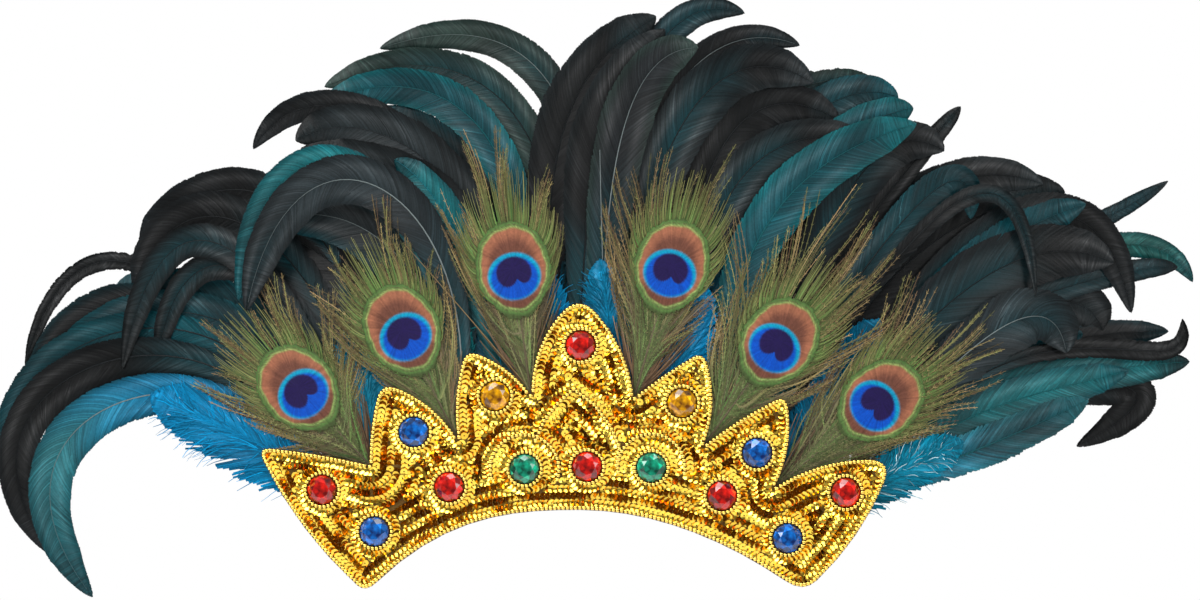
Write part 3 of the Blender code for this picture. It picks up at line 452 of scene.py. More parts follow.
# Colours as they look, in shares of 255
TONES = {
    "black": (7, 9, 10),
    "soft_black": (17, 21, 23),
    "grey_black": (20, 26, 28),
    "grey": (26, 34, 37),
    "grey_teal": (28, 78, 84),
    "grey_green": (34, 48, 44),
    "green_black": (20, 36, 33),
    "green_teal": (22, 84, 78),
    "teal_black": (8, 36, 41),
    "deep_teal": (6, 48, 54),
    "dark_teal": (5, 54, 61),
    "teal": (8, 76, 80),
    "down_teal": (4, 86, 108),
    "blue_teal": (0, 86, 116),
    "blue": (0, 104, 146),
    "cyan": (2, 100, 124),
    "dark": (20, 24, 26),
    "pale": (104, 114, 114),
    "olive": (96, 96, 58),
    "bronze": (112, 94, 64),
    "leaf": (72, 104, 52),
    "moss": (58, 70, 38),
    "gold_green": (126, 122, 76),
    "copper": (134, 84, 62),
    "cocoa": (92, 56, 44),
    "lime": (138, 160, 92),
    "turquoise": (0, 128, 160),
    "royal": (0, 64, 158),
    "violet": (24, 14, 62),
    "stem": (86, 78, 60),
    "umber": (80, 62, 46),
    "wisp": (168, 190, 192),
    # Sequins' gold tints: lemon for their painted highlight, amber for their painted shade
    "lemon": (255, 246, 206),
    "amber": (230, 200, 136),
}

# Loose strands in front of the rest, from a point over a bend to an end, as shares of the fan
Strand = namedtuple("Strand", "name tone width layer across1 up1 across2 up2 across3 up3")
STRANDS = (
    Strand("herl_left", "bronze", 0.0008, -0.3, -0.292, 0.520, -0.200, 0.400, -0.083, 0.235),
    Strand("shaft_centre", "pale", 0.0009, 4.2, 0.033, 0.706, 0.036, 0.530, 0.042, 0.353),
    Strand("shaft_right", "cyan", 0.0008, 4.0, 0.367, 0.157, 0.345, 0.110, 0.325, 0.059),
    Strand("shaft_left", "cyan", 0.0009, 3.0, -0.133, 0.373, -0.105, 0.300, -0.083, 0.231),
)

# Rows of beads sewn on the crown: places as shares of CROWN_WIDTH / 2 and CROWN_HEIGHT
Cord = namedtuple("Cord", "name places")
CORDS = (
    Cord("chevron_left", ((-0.02, 0.575), (-0.075, 0.50), (-0.115, 0.42), (-0.14, 0.33))),
    Cord("chevron_right", ((-0.02, 0.575), (0.045, 0.50), (0.095, 0.40), (0.125, 0.30), (0.115, 0.21))),
)
# Arcs of beads round a stone: radius as a share of the stone's, from and to in degrees
Arc = namedtuple("Arc", "gem radius start end")
ARCS = (
    Arc("green_left", 2.35, -18, 196),
    Arc("green_right", 2.30, -10, 188),
)


def linear(tone):
    """A tone's colour as light, from the value it shows."""
    shares = np.array(TONES[tone]) / 255.0
    return np.where(shares <= 0.04045, shares / 12.92, ((shares + 0.055) / 1.055) ** 2.4)


def eased(value, start=0.0, span=1.0):
    """A smooth rise from 0 to 1 that begins at start and takes span."""
    share = np.clip((value - start) / span, 0.0, 1.0)
    return share * share * (3.0 - 2.0 * share)


def bell(value, middle, width):
    return np.exp(-(((value - middle) / width) ** 2))


def mix(one, other, share):
    """Blends two colours by an array of shares, which gains a last axis for the colour."""
    share = np.asarray(share)[..., None]
    return one * (1.0 - share) + other * share


def varied(chance, spread, shape):
    """Random strengths round 1, of which none is very bright."""
    return np.exp(spread * np.clip(chance.standard_normal(shape), -2.2, 1.3))


def unit(vectors):
    return vectors / np.maximum(np.linalg.norm(vectors, axis=-1, keepdims=True), 1e-9)


def turned(vectors):
    """Vectors in the fan's plane, turned left by a right angle."""
    return np.stack((-vectors[..., 1], vectors[..., 0]), axis=-1)


def ray(angle):
    return np.stack((np.cos(angle), np.sin(angle)), axis=-1)


def direction(degrees):
    return ray(np.radians(degrees))


def bow(x):
    """How far back the bowed panel lies at a place across."""
    return x * x / (2.0 * BOW_RADIUS)


def layer_depth(path, layer):
    """The depth of a feather layer's middle along a path, as in the CAD."""
    x, z = path[..., 0], path[..., 1]
    share = x / CROWN_HALF
    arc = CROWN_HEIGHT * (SPREAD_RISE - SPREAD_FALL * np.minimum(1.0, share * share))
    aside = np.maximum(0.0, np.abs(x) - SPREAD_ACROSS * CROWN_HALF)
    opened = eased(np.hypot(aside, np.maximum(0.0, z - arc)), 0.0, SPREAD_LENGTH)
    step = ROOT_STEP + (TIP_STEP - ROOT_STEP) * opened
    return bow(x) + GAP + (layer + 0.5) * step


def through_points(marks, share):
    """A cubic curve's points; the curve passes the two middle marks at 1/3 and 2/3."""
    root, third, two_thirds, tip = marks
    first = (root * -5.0 + third * 18.0 - two_thirds * 9.0 + tip * 2.0) / 6.0
    second = (root * 2.0 - third * 9.0 + two_thirds * 18.0 - tip * 5.0) / 6.0
    share = share[..., None]
    rest = 1.0 - share
    start_side = root * rest**3 + first * 3.0 * rest * rest * share
    return start_side + second * 3.0 * rest * share * share + tip * share**3


def bent(start, bend, end, share):
    """A quadratic curve's points; start, bend and end may be arrays of points."""
    share = share[..., None]
    rest = 1.0 - share
    return start * rest * rest + bend * 2.0 * rest * share + end * share * share


def arcs(start, bend, end, share):
    """One bent path for each start."""
    return bent(start[:, None], bend[:, None], end[:, None], np.tile(share, (len(start), 1)))


def square_to(path):
    """Unit vectors in the fan's plane, square to a path: ribbon, station, coordinate."""
    return turned(unit(np.gradient(path, axis=-2)))


def in_space(path, depth):
    return np.stack((path[..., 0], depth, path[..., 1]), axis=-1)


class Pieces:
    """Collects faces with four corners and a tint at each point, then makes an object of them."""

    def __init__(self):
        self.points, self.faces, self.tints, self.count = [], [], [], 0

    def add(self, points, faces, tints):
        self.points.append(points.reshape(-1, 3))
        self.faces.append(faces.reshape(-1, 4) + self.count)
        self.tints.append(np.broadcast_to(tints, points.shape).reshape(-1, 3))
        self.count += self.points[-1].shape[0]

    def add_ribbons(self, left, right, tints):
        """Ribbons between two arrays of points: ribbon, station, coordinate."""
        number, stations = left.shape[:2]
        first = 2 * (np.arange(number)[:, None] * stations + np.arange(stations - 1))
        faces = np.stack((first, first + 1, first + 3, first + 2), axis=-1)
        self.add(np.stack((left, right), axis=2), faces, np.stack((tints, tints), axis=2))

    def add_blades(self, path, across, width, depth, tints):
        """Ribbons of a width along paths in the fan's plane, each leaned a little."""
        half = across * (width / 2.0)[..., None]
        self.add_ribbons(in_space(path + half, depth), in_space(path - half, depth + BLADE_LEAN), tints)

    def add_grid(self, points, tints):
        """Rows of points: row, column, coordinate. Each row's last point joins its first."""
        rows, columns = points.shape[:2]
        here = np.arange(columns)
        after = (here + 1) % columns
        level = np.arange(rows - 1)[:, None] * columns
        faces = (level + here, level + after, level + columns + after, level + columns + here)
        self.add(points, np.stack(faces, axis=-1), tints)

    def add_tube(self, path, depth, radius, tints):
        """A tapering tube along a path in the fan's plane. Radius is an array over its stations."""
        across = square_to(path[None])[0]
        rings = []
        for angle in WHOLE_TURN * np.arange(TUBE_SIDES) / TUBE_SIDES:
            place = path + across * (radius * math.cos(angle))[:, None]
            rings.append(in_space(place, depth + radius * math.sin(angle)))
        self.add_grid(np.stack(rings, axis=1), tints[:, None, :])

    def make(self, name, material):
        mesh = bpy.data.meshes.new(name)
        points = np.concatenate(self.points)
        mesh.from_pydata(points.tolist(), [], np.concatenate(self.faces).tolist())
        tints = np.ones((len(points), 4), dtype=np.float32)
        tints[:, :3] = np.concatenate(self.tints)
        layer = mesh.color_attributes.new("tint", "FLOAT_COLOR", "POINT")
        layer.data.foreach_set("color", tints.ravel())
        mesh.shade_smooth()
        mesh.materials.append(material)
        return add_object(name, mesh)


def add_object(name, data):
    item = bpy.data.objects.new(name, data)
    bpy.context.scene.collection.objects.link(item)
    return item


def settle(item, node):
    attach(item, "root")
    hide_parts(node)


def fan_point(across, up):
    return np.array((across * FAN_HALF_WIDTH, up * FAN_HEIGHT))


def crown_point(across, up):
    return np.array((across * CROWN_HALF, up * CROWN_HEIGHT))


def head_place(index):
    """Left, right and middle height of a bunch's head, as in the CAD."""
    middle = (index - (len(BUNCHES) - 1) / 2.0) * HEAD_PITCH
    half = (HEAD_PITCH - HEAD_CLEARANCE) / 2.0
    return middle - half, middle + half, BUNCHES[index].up * CROWN_HEIGHT


def add_barbs(pieces, row, marks, look, chance):
    """A coque feather's vane: shingled barbs on both sides of the shaft, parted into locks."""
    along, vane = np.array([(line.along, getattr(line, row.shape)) for line in SHAPES]).T
    fine = through_points(marks, np.linspace(0.0, 1.0, 60))
    length = np.linalg.norm(np.diff(fine, axis=0), axis=1).sum()
    number = int(length / BARB_PITCH)
    breadth = row.breadth * FULLER.get(row.name, 1.0) * VANE_BREADTH / 2.0
    t = np.linspace(0.0, 1.0, BARB_STATIONS)
    base, body, edge = linear(look.base), linear(look.vane), linear(look.edge)
    base_end, fade = LONG_BASE if row.name in LONG_BASES else SHORT_BASE
    wave = chance.uniform(0.0, 6.28, 4)
    for side in (-1.0, 1.0):
        roots = 1.0 - (1.0 - (np.arange(number) + chance.uniform(0.0, 1.0, number)) / number) ** 1.2
        reach = np.interp(np.minimum(roots + 0.06, 1.0), along, vane) * breadth
        ends = np.minimum(roots + BARB_SWEEP * reach / length, 1.0)
        lock = chance.uniform(*LOCK_LENGTHS)
        cell = roots * length / lock + 1.1 * np.sin(roots * 23.0 + wave[0])
        pull = (np.floor(cell) + 0.5 - cell) * lock / length * look.locks * LOCK_PULL
        pull *= eased(-roots, -0.85, 0.25)
        shares = roots[:, None] + (ends - roots)[:, None] * t + pull[:, None] * t**3
        shares = np.clip(shares, 0.0, 1.0)
        blunt = 1.0 - TIP_FULLNESS * eased(ends, 0.68, 0.25)
        half = np.interp(np.clip(ends + pull, 0.0, 1.0), along, vane) ** blunt * breadth
        frayed = chance.uniform(size=number) < look.fray
        torn = chance.uniform(0.95 - 0.5 * look.fray, 1.0 + 0.3 * look.fray, number)
        half *= np.where(frayed, torn, chance.uniform(0.985, 1.01, number))
        half *= 1.0 + 0.045 * look.locks * np.sin(np.floor(cell) * 2.4 + wave[1])
        ahead = through_points(marks, np.minimum(shares + TANGENT_STEP, 1.0))
        tangent = unit(ahead - through_points(marks, np.maximum(shares - TANGENT_STEP, 0.0)))
        path = through_points(marks, shares) + turned(tangent) * (side * half[:, None] * t**0.9)[..., None]
        width = BARB_WIDTH * (1.0 - 0.3 * t**3) * chance.uniform(0.85, 1.15, number)[:, None]
        ripple = VANE_RIPPLE * np.sin(roots * length * 260.0 + wave[2])[:, None] * t
        depth = layer_depth(path, row.layer) + VANE_CUP * (t**1.7 - 0.35) + ripple
        shingle = side * SHINGLE * chance.uniform(0.5, 1.5, number)[:, None] * np.ones_like(t)
        aside = square_to(path) * (width / 2.0)[..., None]
        tints = mix(base, body, eased(roots, base_end, fade))[:, None, :] * np.ones((1, len(t), 1))
        # Painted sheen: deep teal mixed into the tint in patches near the shaft
        sheen = eased(1.3 * np.sin(roots * 5.5 + wave[3]), 0.3)[:, None] * (1.0 - t)
        tints = mix(tints, linear("deep_teal"), 0.6 * sheen)
        tints = mix(tints, edge, 0.75 * eased(t, 0.55, 0.45) * np.ones((number, 1)))
        tints = mix(tints, edge, 0.8 * eased(shares, 0.86, 0.14))
        # Painted highlight: a lighter band across the vane near mid-width, in patches along it, added to
        # the tint
        patch = (0.5 + 0.5 * np.sin(roots * 11.0 + wave[1]) * np.sin(roots * 4.3 + wave[2]))[:, None]
        lit = patch * bell(t, 0.3 + 0.25 * patch, 0.2) * chance.uniform(0.45, 1.0, (number, 1))
        tints = tints + (body * 0.5 + PAINTED_HIGHLIGHT_GREY) * lit[..., None]
        # Brightness per barb and per lock: partly random tone, partly painted gloss streaks along the
        # barbs
        streak = np.exp(0.22 * chance.standard_normal(number))
        streak *= 1.0 + 0.22 * np.sin(roots * 9.0 + wave[3]) + 0.16 * np.sin(roots * 31.0 + wave[1])
        streak *= np.exp(0.14 * np.sin(np.floor(cell) * 37.7 + wave[0]))
        left, right = in_space(path + aside, depth - shingle), in_space(path - aside, depth + shingle)
        pieces.add_ribbons(left, right, tints * streak[:, None, None])
    stations = np.linspace(0.0, 0.99, 40)
    shaft = through_points(marks, stations)
    radius = SHAFT_RADIUS * (1.0 - 0.8 * stations) * (0.7 + 0.3 * min(1.0, row.breadth))
    colour = mix(linear(look.shaft), body, 0.6 * eased(stations, 0.4, 0.5))
    pieces.add_tube(shaft, layer_depth(shaft, row.layer) - VANE_CUP * 0.45, radius, colour)


def add_down(pieces, row, marks, tone, wisps, chance):
    """Soft curling barbs at the foot of a bunch, most of them along its line."""
    number = DOWN_BARBS
    t = np.linspace(0.0, 1.0, DOWN_STATIONS)
    colour = linear(tone)
    roots = chance.uniform(0.02, 0.86, number) ** 0.8
    start = through_points(marks, roots)
    ahead = through_points(marks, np.minimum(roots + 0.01, 1.0)) - through_points(marks, roots - 0.01)
    heading = np.arctan2(ahead[:, 1], ahead[:, 0])
    lean = chance.choice((-1.0, 1.0), number) * chance.uniform(0.1, 1.0, number) ** 1.3
    reach = row.breadth * VANE_BREADTH * chance.uniform(0.3, 0.85, number)
    reach *= 0.55 * np.interp(roots, (0.0, 0.3, 0.8, 1.0), (0.75, 1.15, 0.75, 0.4))
    bend = start + ray(heading + lean * 0.7) * reach[:, None]
    last = heading + lean * 1.25 + chance.uniform(-0.35, 0.35, number)
    path = arcs(start, bend, bend + ray(last) * reach[:, None], t)
    across = square_to(path)
    wave = chance.uniform(0.0, 6.28, number)[:, None]
    path = path + across * (0.0006 * t * np.sin(t * 9.0 + wave))[..., None]
    width = DOWN_WIDTH * chance.uniform(0.5, 1.3, number)[:, None] * (1.0 - 0.8 * t)
    depth = layer_depth(path, row.layer) + chance.uniform(-1.0, 0.8, number)[:, None] * DOWN_LIFT * t
    shade = varied(chance, 0.35, (number, 1)) * (0.75 + 0.5 * t)
    pale = np.where(chance.uniform(size=(number, 1)) < wisps, linear("wisp"), colour)
    tints = mix(colour, pale[:, None, :], t[None, :] ** 2) * shade[..., None]
    pieces.add_blades(path, across, width, depth, tints)


def make_head(name, material, left, right, bottom, top, deep):
    """A felt-covered block that holds quills, with rounded edges."""
    head = Pieces()
    angle = np.linspace(0.0, WHOLE_TURN, 28, endpoint=False)
    outer = np.sign(np.cos(angle)) * np.abs(np.cos(angle)) ** HEAD_SQUARENESS
    upper = np.sign(np.sin(angle)) * np.abs(np.sin(angle)) ** HEAD_SQUARENESS
    ends = (0.0, 0.04, 0.10, *np.linspace(0.16, 0.84, 8), 0.90, 0.96, 1.0)
    shrink = (0.0, 0.86, 0.97, *(1.0,) * 8, 0.97, 0.86, 0.0)
    rows = []
    for share, scale in zip(ends, shrink):
        x = left + (right - left) * share
        y = bow(x) + GAP + deep * (0.5 + 0.495 * scale * outer)
        z = (bottom + top) / 2.0 + (top - bottom) * 0.495 * scale * upper
        rows.append(np.stack((np.full(len(angle), x), y, z), axis=-1))
    head.add_grid(np.stack(rows), linear("black"))
    return head.make(name, material)


def make_bunch(index, materials):
    bunch = BUNCHES[index]
    chance = np.random.default_rng(100 + index)
    left, right, middle = head_place(index)
    rows = [row for row in VANES + FILLERS if row.bunch == bunch.name]
    rows.sort(key=lambda row: row.across1)
    pieces, down = Pieces(), Pieces()
    for place, row in enumerate(rows):
        x = left + (right - left) * (0.5 + ROOTS_SPREAD * ((place + 0.5) / len(rows) - 0.5))
        places = ((row.across1, row.up1), (row.across2, row.up2), (row.across3, row.up3))
        marks = (np.array((x, middle)), *(fan_point(*pair) for pair in places))
        if row.shape == "down":
            tone = DOWNS[bunch.name]
            add_barbs(down, row, marks, Look(tone, tone, tone, tone, 0.9, 0.5), chance)
            add_down(down, row, marks, tone, WISPS.get(bunch.name, 0.0), chance)
        else:
            add_barbs(pieces, row, marks, LOOKS[row.name], chance)
    node = "coque_bunch_" + bunch.name
    settle(pieces.make("coque_feathers_" + bunch.name, materials["coque"]), node)
    if down.count:
        settle(down.make("coque_down_" + bunch.name, materials["down"]), node)
    bottom, top = middle - HEAD_HEIGHT / 2, middle + HEAD_HEIGHT / 2
    name = "felt_head_" + bunch.name
    settle(make_head(name, materials["felt"], left, right, bottom, top, LAYERS * ROOT_STEP), node)


def eye_colours(along, aside):
    """The eye's rings, from places along and across the quill in metres, the tip's side positive."""
    turn = np.arctan2(aside, along)
    oval = np.hypot(along / EYE_OVAL[0], aside / EYE_OVAL[1])
    oval = oval * (1.0 + 0.018 * np.sin(turn * 5.0 + 1.0) + 0.012 * np.sin(turn * 13.0))
    ring = np.hypot((along + 0.0040) / EYE_BLUE[0], aside / EYE_BLUE[1])
    notch = 1.0 - 0.55 * bell(np.arctan2(aside + 0.0012, -(along + 0.0030)), 0.0, 0.5)
    heart = np.hypot((along + 0.0024) / EYE_HEART[0], aside / EYE_HEART[1]) / notch
    colour = mix(linear("leaf"), linear("moss"), eased(oval, 1.12, 0.08))
    colour = mix(colour, linear("umber"), bell(oval, 1.085, 0.018) * 0.7)
    colour = mix(colour, linear("lime"), bell(oval, 1.03, 0.022) * 0.75)
    copper = mix(linear("cocoa"), linear("copper"), eased(oval, 0.62, 0.3))
    copper = mix(copper, linear("cocoa"), eased(-along, 0.008, 0.008))
    colour = mix(copper, colour, eased(oval, 0.97, 0.08))
    blue = mix(linear("royal"), linear("turquoise"), eased(ring + 8.0 * along, 0.78, 0.15))
    colour = mix(blue, colour, eased(ring, 0.96, 0.09))
    return mix(linear("violet"), colour, eased(heart, 0.93, 0.12))


def add_herls(pieces, row, root, eye, chance):
    """Loose herls that leave the quill low down and fan out past the eye."""
    t = np.linspace(0.0, 1.0, HERL_STATIONS)
    each = (HERLS, 1)
    lock = chance.integers(0, HERL_LOCKS, HERLS)
    middles = np.linspace(-0.95, 0.95, HERL_LOCKS) + chance.uniform(-0.05, 0.05, HERL_LOCKS)
    turn = np.clip(middles[lock] + chance.normal(0.0, 0.035, HERLS), -1.0, 1.0)
    reach = row.reach * PEACOCK_LENGTH * (1.0 - HERL_SHORTENING * np.abs(turn) ** HERL_POWER)
    reach *= 1.0 - 0.45 * chance.uniform(0.0, 1.0, HERLS) ** 1.8
    reach *= chance.uniform(0.70, 1.06, HERL_LOCKS)[lock]
    turn *= np.where(turn > 0.0, row.high - row.axis, row.axis - row.low)
    start = root + direction(row.axis) * (chance.uniform(0.02, 0.55, HERLS) * eye)[:, None]
    end = root + direction(row.axis + turn) * reach[:, None]
    leaning = direction(row.axis + turn * chance.uniform(0.35, 0.8, HERLS))
    bend = root + leaning * (reach * chance.uniform(0.42, 0.6, HERLS))[:, None]
    path = arcs(start, bend, end, t)
    across = square_to(path)
    wave = chance.uniform(0.0, 6.28, HERL_LOCKS)[lock][:, None] + chance.uniform(-0.4, 0.4, each)
    path = path + across * (HERL_SWAY * t**1.5 * np.sin(t * 4.6 + wave))[..., None]
    width = HERL_WIDTH * chance.uniform(0.7, 1.4, each) * (1.0 - 0.6 * t)
    depth = layer_depth(path, row.layer) + chance.uniform(-0.4, 0.5, each) * TIP_STEP
    kind = chance.uniform(size=each)
    tip = np.where(kind < 0.4, linear("bronze"), np.where(kind < 0.7, linear("olive"), linear("umber")))
    foot = mix(linear("leaf"), linear("stem"), chance.uniform(size=each) ** 0.7)
    tints = mix(foot, tip[:, None, :], eased(t, 0.42, 0.4) * np.ones(each))
    # Painted glint: a random share of gold-green mixed into each herl's tint
    painted_glint = 0.4 * chance.uniform(size=each) ** 2 * np.ones_like(t)
    tints = mix(tints, linear("gold_green"), painted_glint) * varied(chance, 0.45, (HERLS, 1, 1))
    pieces.add_blades(path, across, width, depth, tints)
    add_barbules(pieces, path, across, depth, tints, chance)


def add_barbules(pieces, path, across, depth, tints, chance):
    """Short hairs on both sides of each herl, two to a stretch between its stations."""
    step = np.diff(path, axis=1)
    heading = unit(step)
    thick = heading * BARBULE_WIDTH
    wide = np.stack((thick, thick * 0.2), axis=2).reshape(-1, 2, 2)
    level = np.repeat(depth[:, :-1].reshape(-1, 1), 2, axis=1)
    colours = np.repeat(tints[:, :-1].reshape(-1, 1, 3), 2, axis=1)
    for side in (-1.0, 1.0):
        for share in (0.15, 0.65):
            foot = path[:, :-1] + step * share
            size = BARBULE_LENGTH * chance.uniform(0.6, 1.3, step.shape[:2])[..., None]
            tip = foot + (heading * 0.85 + across[:, :-1] * side * 0.6) * size
            hair = np.stack((foot, tip), axis=2).reshape(-1, 2, 2)
            pieces.add_ribbons(in_space(hair + wide, level), in_space(hair - wide, level), colours)


def add_eye(pieces, row, root, eye, chance):
    """The eye as a cupped oval of fine barbs, with its rings of colour."""
    axis = direction(row.axis)
    share = np.linspace(0.0, 1.0, EYE_RINGS)[:, None]
    angle = np.linspace(0.0, WHOLE_TURN, EYE_SECTORS, endpoint=False)[None, :]
    ragged = 1.0 + 0.035 * chance.uniform(-1.0, 1.0, (1, EYE_SECTORS)) * eased(share, 0.7, 0.3)
    length = np.where(np.cos(angle) > 0.0, EYE_ABOVE, EYE_BELOW)
    u = share * length * np.cos(angle) * ragged
    v = share * EYE_ASIDE * np.sin(angle) * ragged * (1.0 - 0.18 * eased(-u, 0.0, 0.030))
    place = root + axis * eye + u[..., None] * axis + v[..., None] * turned(axis)
    ridge = EYE_RIDGE * np.cos(np.arange(EYE_SECTORS) * math.pi) * eased(share, 0.0, 0.25)
    depth = layer_depth(place, row.layer) - TIP_STEP * 1.2 + EYE_CUP * share**2 + ridge
    grain = 1.0 + 0.11 * chance.standard_normal((1, EYE_SECTORS)) + 0.05 * chance.standard_normal(u.shape)
    pieces.add_grid(in_space(place, depth), eye_colours(u, v) * grain[..., None])


def add_corona(pieces, row, root, eye, chance):
    """Fine green barbs that stand out round the eye and lean towards the tip."""
    each = (CORONA_BARBS, 1)
    t = np.linspace(0.0, 1.0, 8)
    angle = chance.uniform(0.0, WHOLE_TURN, CORONA_BARBS)
    axis = direction(row.axis)
    onward, sideways = np.cos(angle)[:, None], np.sin(angle)[:, None] * turned(axis)
    start = root + axis * eye + onward * CORONA_START[0] * axis + sideways * CORONA_START[1]
    reach = CORONA_REACH * chance.uniform(0.2, 1.3, CORONA_BARBS)[:, None] * (1.0 + 0.3 * onward)
    radial = onward * axis + sideways
    bend = start + (radial * 0.75 + axis * 0.35) * reach * 0.5
    end = start + (radial * 0.55 + axis * 0.95) * reach
    path = arcs(start, bend, end, t)
    width = CORONA_WIDTH * chance.uniform(0.6, 1.2, each) * (1.0 - 0.7 * t)
    depth = layer_depth(path, row.layer) - TIP_STEP * chance.uniform(0.1, 0.55, each)
    tone = mix(linear("leaf"), linear("olive"), chance.uniform(size=CORONA_BARBS))
    tints = mix(tone[:, None, :], linear("olive"), eased(t, 0.3, 0.7) * np.ones(each))
    tints = tints * varied(chance, 0.35, (CORONA_BARBS, 1, 1))
    pieces.add_blades(path, square_to(path), width, depth, tints)


def add_fringe(pieces, row, root, eye, chance):
    """Green barbs that lie close along the quill below the eye and frame it."""
    number = FRINGE_BARBS
    t = np.linspace(0.0, 1.0, 10)
    side = chance.choice((-1.0, 1.0), number)
    low = chance.uniform(0.0, 0.95, number)
    spread = chance.uniform(0.15, 1.0, number)
    axis = direction(row.axis)
    aside = turned(axis) * (side * spread)[:, None]
    beyond = eye * np.clip(low + 0.45 + 0.35 * (1.0 - spread), 0.5, 1.35)
    start = root + axis * (low * eye)[:, None]
    end = root + axis * beyond[:, None] + aside * FRINGE_ASIDE
    bend = start + axis * (0.30 * (beyond - low * eye))[:, None] + aside * FRINGE_BEND
    path = arcs(start, bend, end, t)
    width = FRINGE_WIDTH * chance.uniform(0.6, 1.2, (number, 1)) * (1.0 - 0.6 * t)
    depth = layer_depth(path, row.layer) - TIP_STEP * 0.15 * chance.uniform(size=(number, 1))
    browned = eased((spread - 0.1) / 0.5 + chance.normal(0.0, 0.4, number))
    tone = mix(linear("leaf"), linear("stem"), browned)
    tints = mix(linear("umber"), tone[:, None, :], eased(t * 0.6 + low[:, None], 0.35, 0.6))
    tints = tints * varied(chance, 0.55, (number, 1, 1))
    pieces.add_blades(path, square_to(path), width, depth, tints)


def make_peacock(index, materials):
    row = PEACOCKS[index]
    chance = np.random.default_rng(300 + index)
    peak = next(peak for peak in PEAKS if peak.name == row.peak)
    root = crown_point(peak.notch_across, peak.notch_up) - direction(row.axis) * QUILL_HEAD_DROP
    eye = row.eye * row.reach * PEACOCK_LENGTH
    herls, spot = Pieces(), Pieces()
    for add in (add_herls, add_fringe, add_corona):
        add(herls, row, root, eye, chance)
    stations = np.linspace(0.0, 1.0, 24)
    quill = root + direction(row.axis) * (stations * eye * 0.72)[:, None]
    depth = layer_depth(quill, row.layer) - TIP_STEP * 0.2
    tints = np.tile(linear("stem"), (len(stations), 1))
    herls.add_tube(quill, depth, QUILL_RADIUS * (1.0 - 0.6 * stations), tints)
    settle(herls.make("herls_" + row.name, materials["herl"]), row.name)
    add_eye(spot, row, root, eye, chance)
    settle(spot.make("eye_" + row.name, materials["eye"]), row.name)
    half, rise = QUILL_HEAD_WIDTH / 2, QUILL_HEAD_HEIGHT / 2
    box = (root[0] - half, root[0] + half, root[1] - rise, root[1] + rise)
    deep = (row.layer + QUILL_HEAD_BACK) * ROOT_STEP
    head = make_head("felt_end_" + row.name, materials["felt"], *box, deep)
    settle(head, row.name)


def crown_corners():
    """Corners from lower left over the peaks to lower right: place, rounding, bulge after."""
    place = np.array((LOWER_LEFT_ACROSS * CROWN_HALF, -CROWN_DROP))
    corners = [(place, LOWER_LEFT_ROUNDING * TIP_ROUNDING, PEAKS[0].rise)]
    for index, peak in enumerate(PEAKS):
        corners.append((crown_point(peak.across, peak.up), peak.rounding * TIP_ROUNDING, peak.fall))
        if peak.notch_up is not None:
            notch = crown_point(peak.notch_across, peak.notch_up)
            corners.append((notch, 0.0, PEAKS[index + 1].rise))
    place = np.array((LOWER_RIGHT_ACROSS * CROWN_HALF, -CROWN_DROP))
    corners.append((place, LOWER_RIGHT_ROUNDING * TIP_ROUNDING, 0.0))
    return corners


def flank(start, end, cut_start, cut_end, bulge):
    chord = end - start
    length = np.linalg.norm(chord)
    control = (start + end) / 2.0 + turned(chord) * bulge * 2.0
    return bent(start, control, end, np.linspace(cut_start / length, 1.0 - cut_end / length, 24))


def arch_points(corners):
    left = corners[0][0][0] + corners[0][1]
    right = corners[-1][0][0] - corners[-1][1]
    x = np.linspace(right, left, 160)
    drop = np.clip(x / (LOWER_LEFT_ACROSS * CROWN_HALF), 0.0, None) ** ARCH_LEFT_POWER
    drop += np.clip(x / (LOWER_RIGHT_ACROSS * CROWN_HALF), 0.0, None) ** ARCH_RIGHT_POWER
    return np.stack((x, -CROWN_DROP * drop), axis=-1)


def crown_outline():
    """The panel's outline in (x, z) as a close row of points, over the peaks and back."""
    corners = crown_corners()
    runs = [flank(a[0], b[0], a[1], b[1], a[2]) for a, b in zip(corners, corners[1:])]
    runs.append(arch_points(corners))
    outline = []
    for index, run in enumerate(runs):
        place, rounding, _ = corners[index]
        if rounding > 0.0:
            outline.append(bent(runs[index - 1][-1], place, run[0], np.linspace(0.0, 1.0, 9)[1:-1]))
        outline.append(run)
    return np.concatenate(outline)


def evenly(path, pitch, closed=False):
    """Points at a pitch along a path, and the directions there."""
    if closed:
        path = np.concatenate((path, path[:1]))
    steps = np.linalg.norm(np.diff(path, axis=0), axis=1)
    run = np.concatenate(((0.0,), np.cumsum(steps)))
    number = max(2, int(round(run[-1] / pitch)))
    at = np.arange(number) * run[-1] / number if closed else np.linspace(0.0, run[-1], number)
    places = np.stack([np.interp(at, run, path[:, axis]) for axis in (0, 1)], axis=-1)
    return places, unit(np.gradient(places, axis=0))


def unit_bead():
    """A round bead of radius 1 as a cube's faces, each cut in four and blown out."""
    points, faces = [], []
    for axis in range(3):
        for side in (-1.0, 1.0):
            first = len(points)
            for u in (-1.0, 0.0, 1.0):
                for v in (-1.0, 0.0, 1.0):
                    points.append(unit(np.roll((side, u * side, v), axis)))
            for corner in (first, first + 1, first + 3, first + 4):
                faces.append((corner, corner + 3, corner + 4, corner + 1))
    return np.array(points), np.array(faces)


def add_beads(pieces, places, radius, chance):
    points, faces = unit_bead()
    for x, z in places:
        size = radius * chance.uniform(0.92, 1.06)
        middle = np.array((x, bow(x) - PANEL_THICKNESS - GAP - radius * 0.9, z))
        pieces.add(points * size + middle, faces, np.ones(3))


def round_stone(gem, radius, start=0.0, end=360.0):
    """Points of a circle, or of an arc, round a stone."""
    return crown_point(gem.across, gem.up) + radius * direction(np.linspace(start, end, 90))


def cord_paths():
    """The bead cords sewn across the crown, as rows of points."""
    paths = [np.array([crown_point(*place) for place in cord.places]) for cord in CORDS]
    for arc in ARCS:
        gem = next(gem for gem in GEMS if gem.name == arc.gem)
        path = round_stone(gem, arc.radius * GEM_RADIUS, arc.start, arc.end)
        paths.append(evenly(path, CORD_STEP)[0])
    return paths


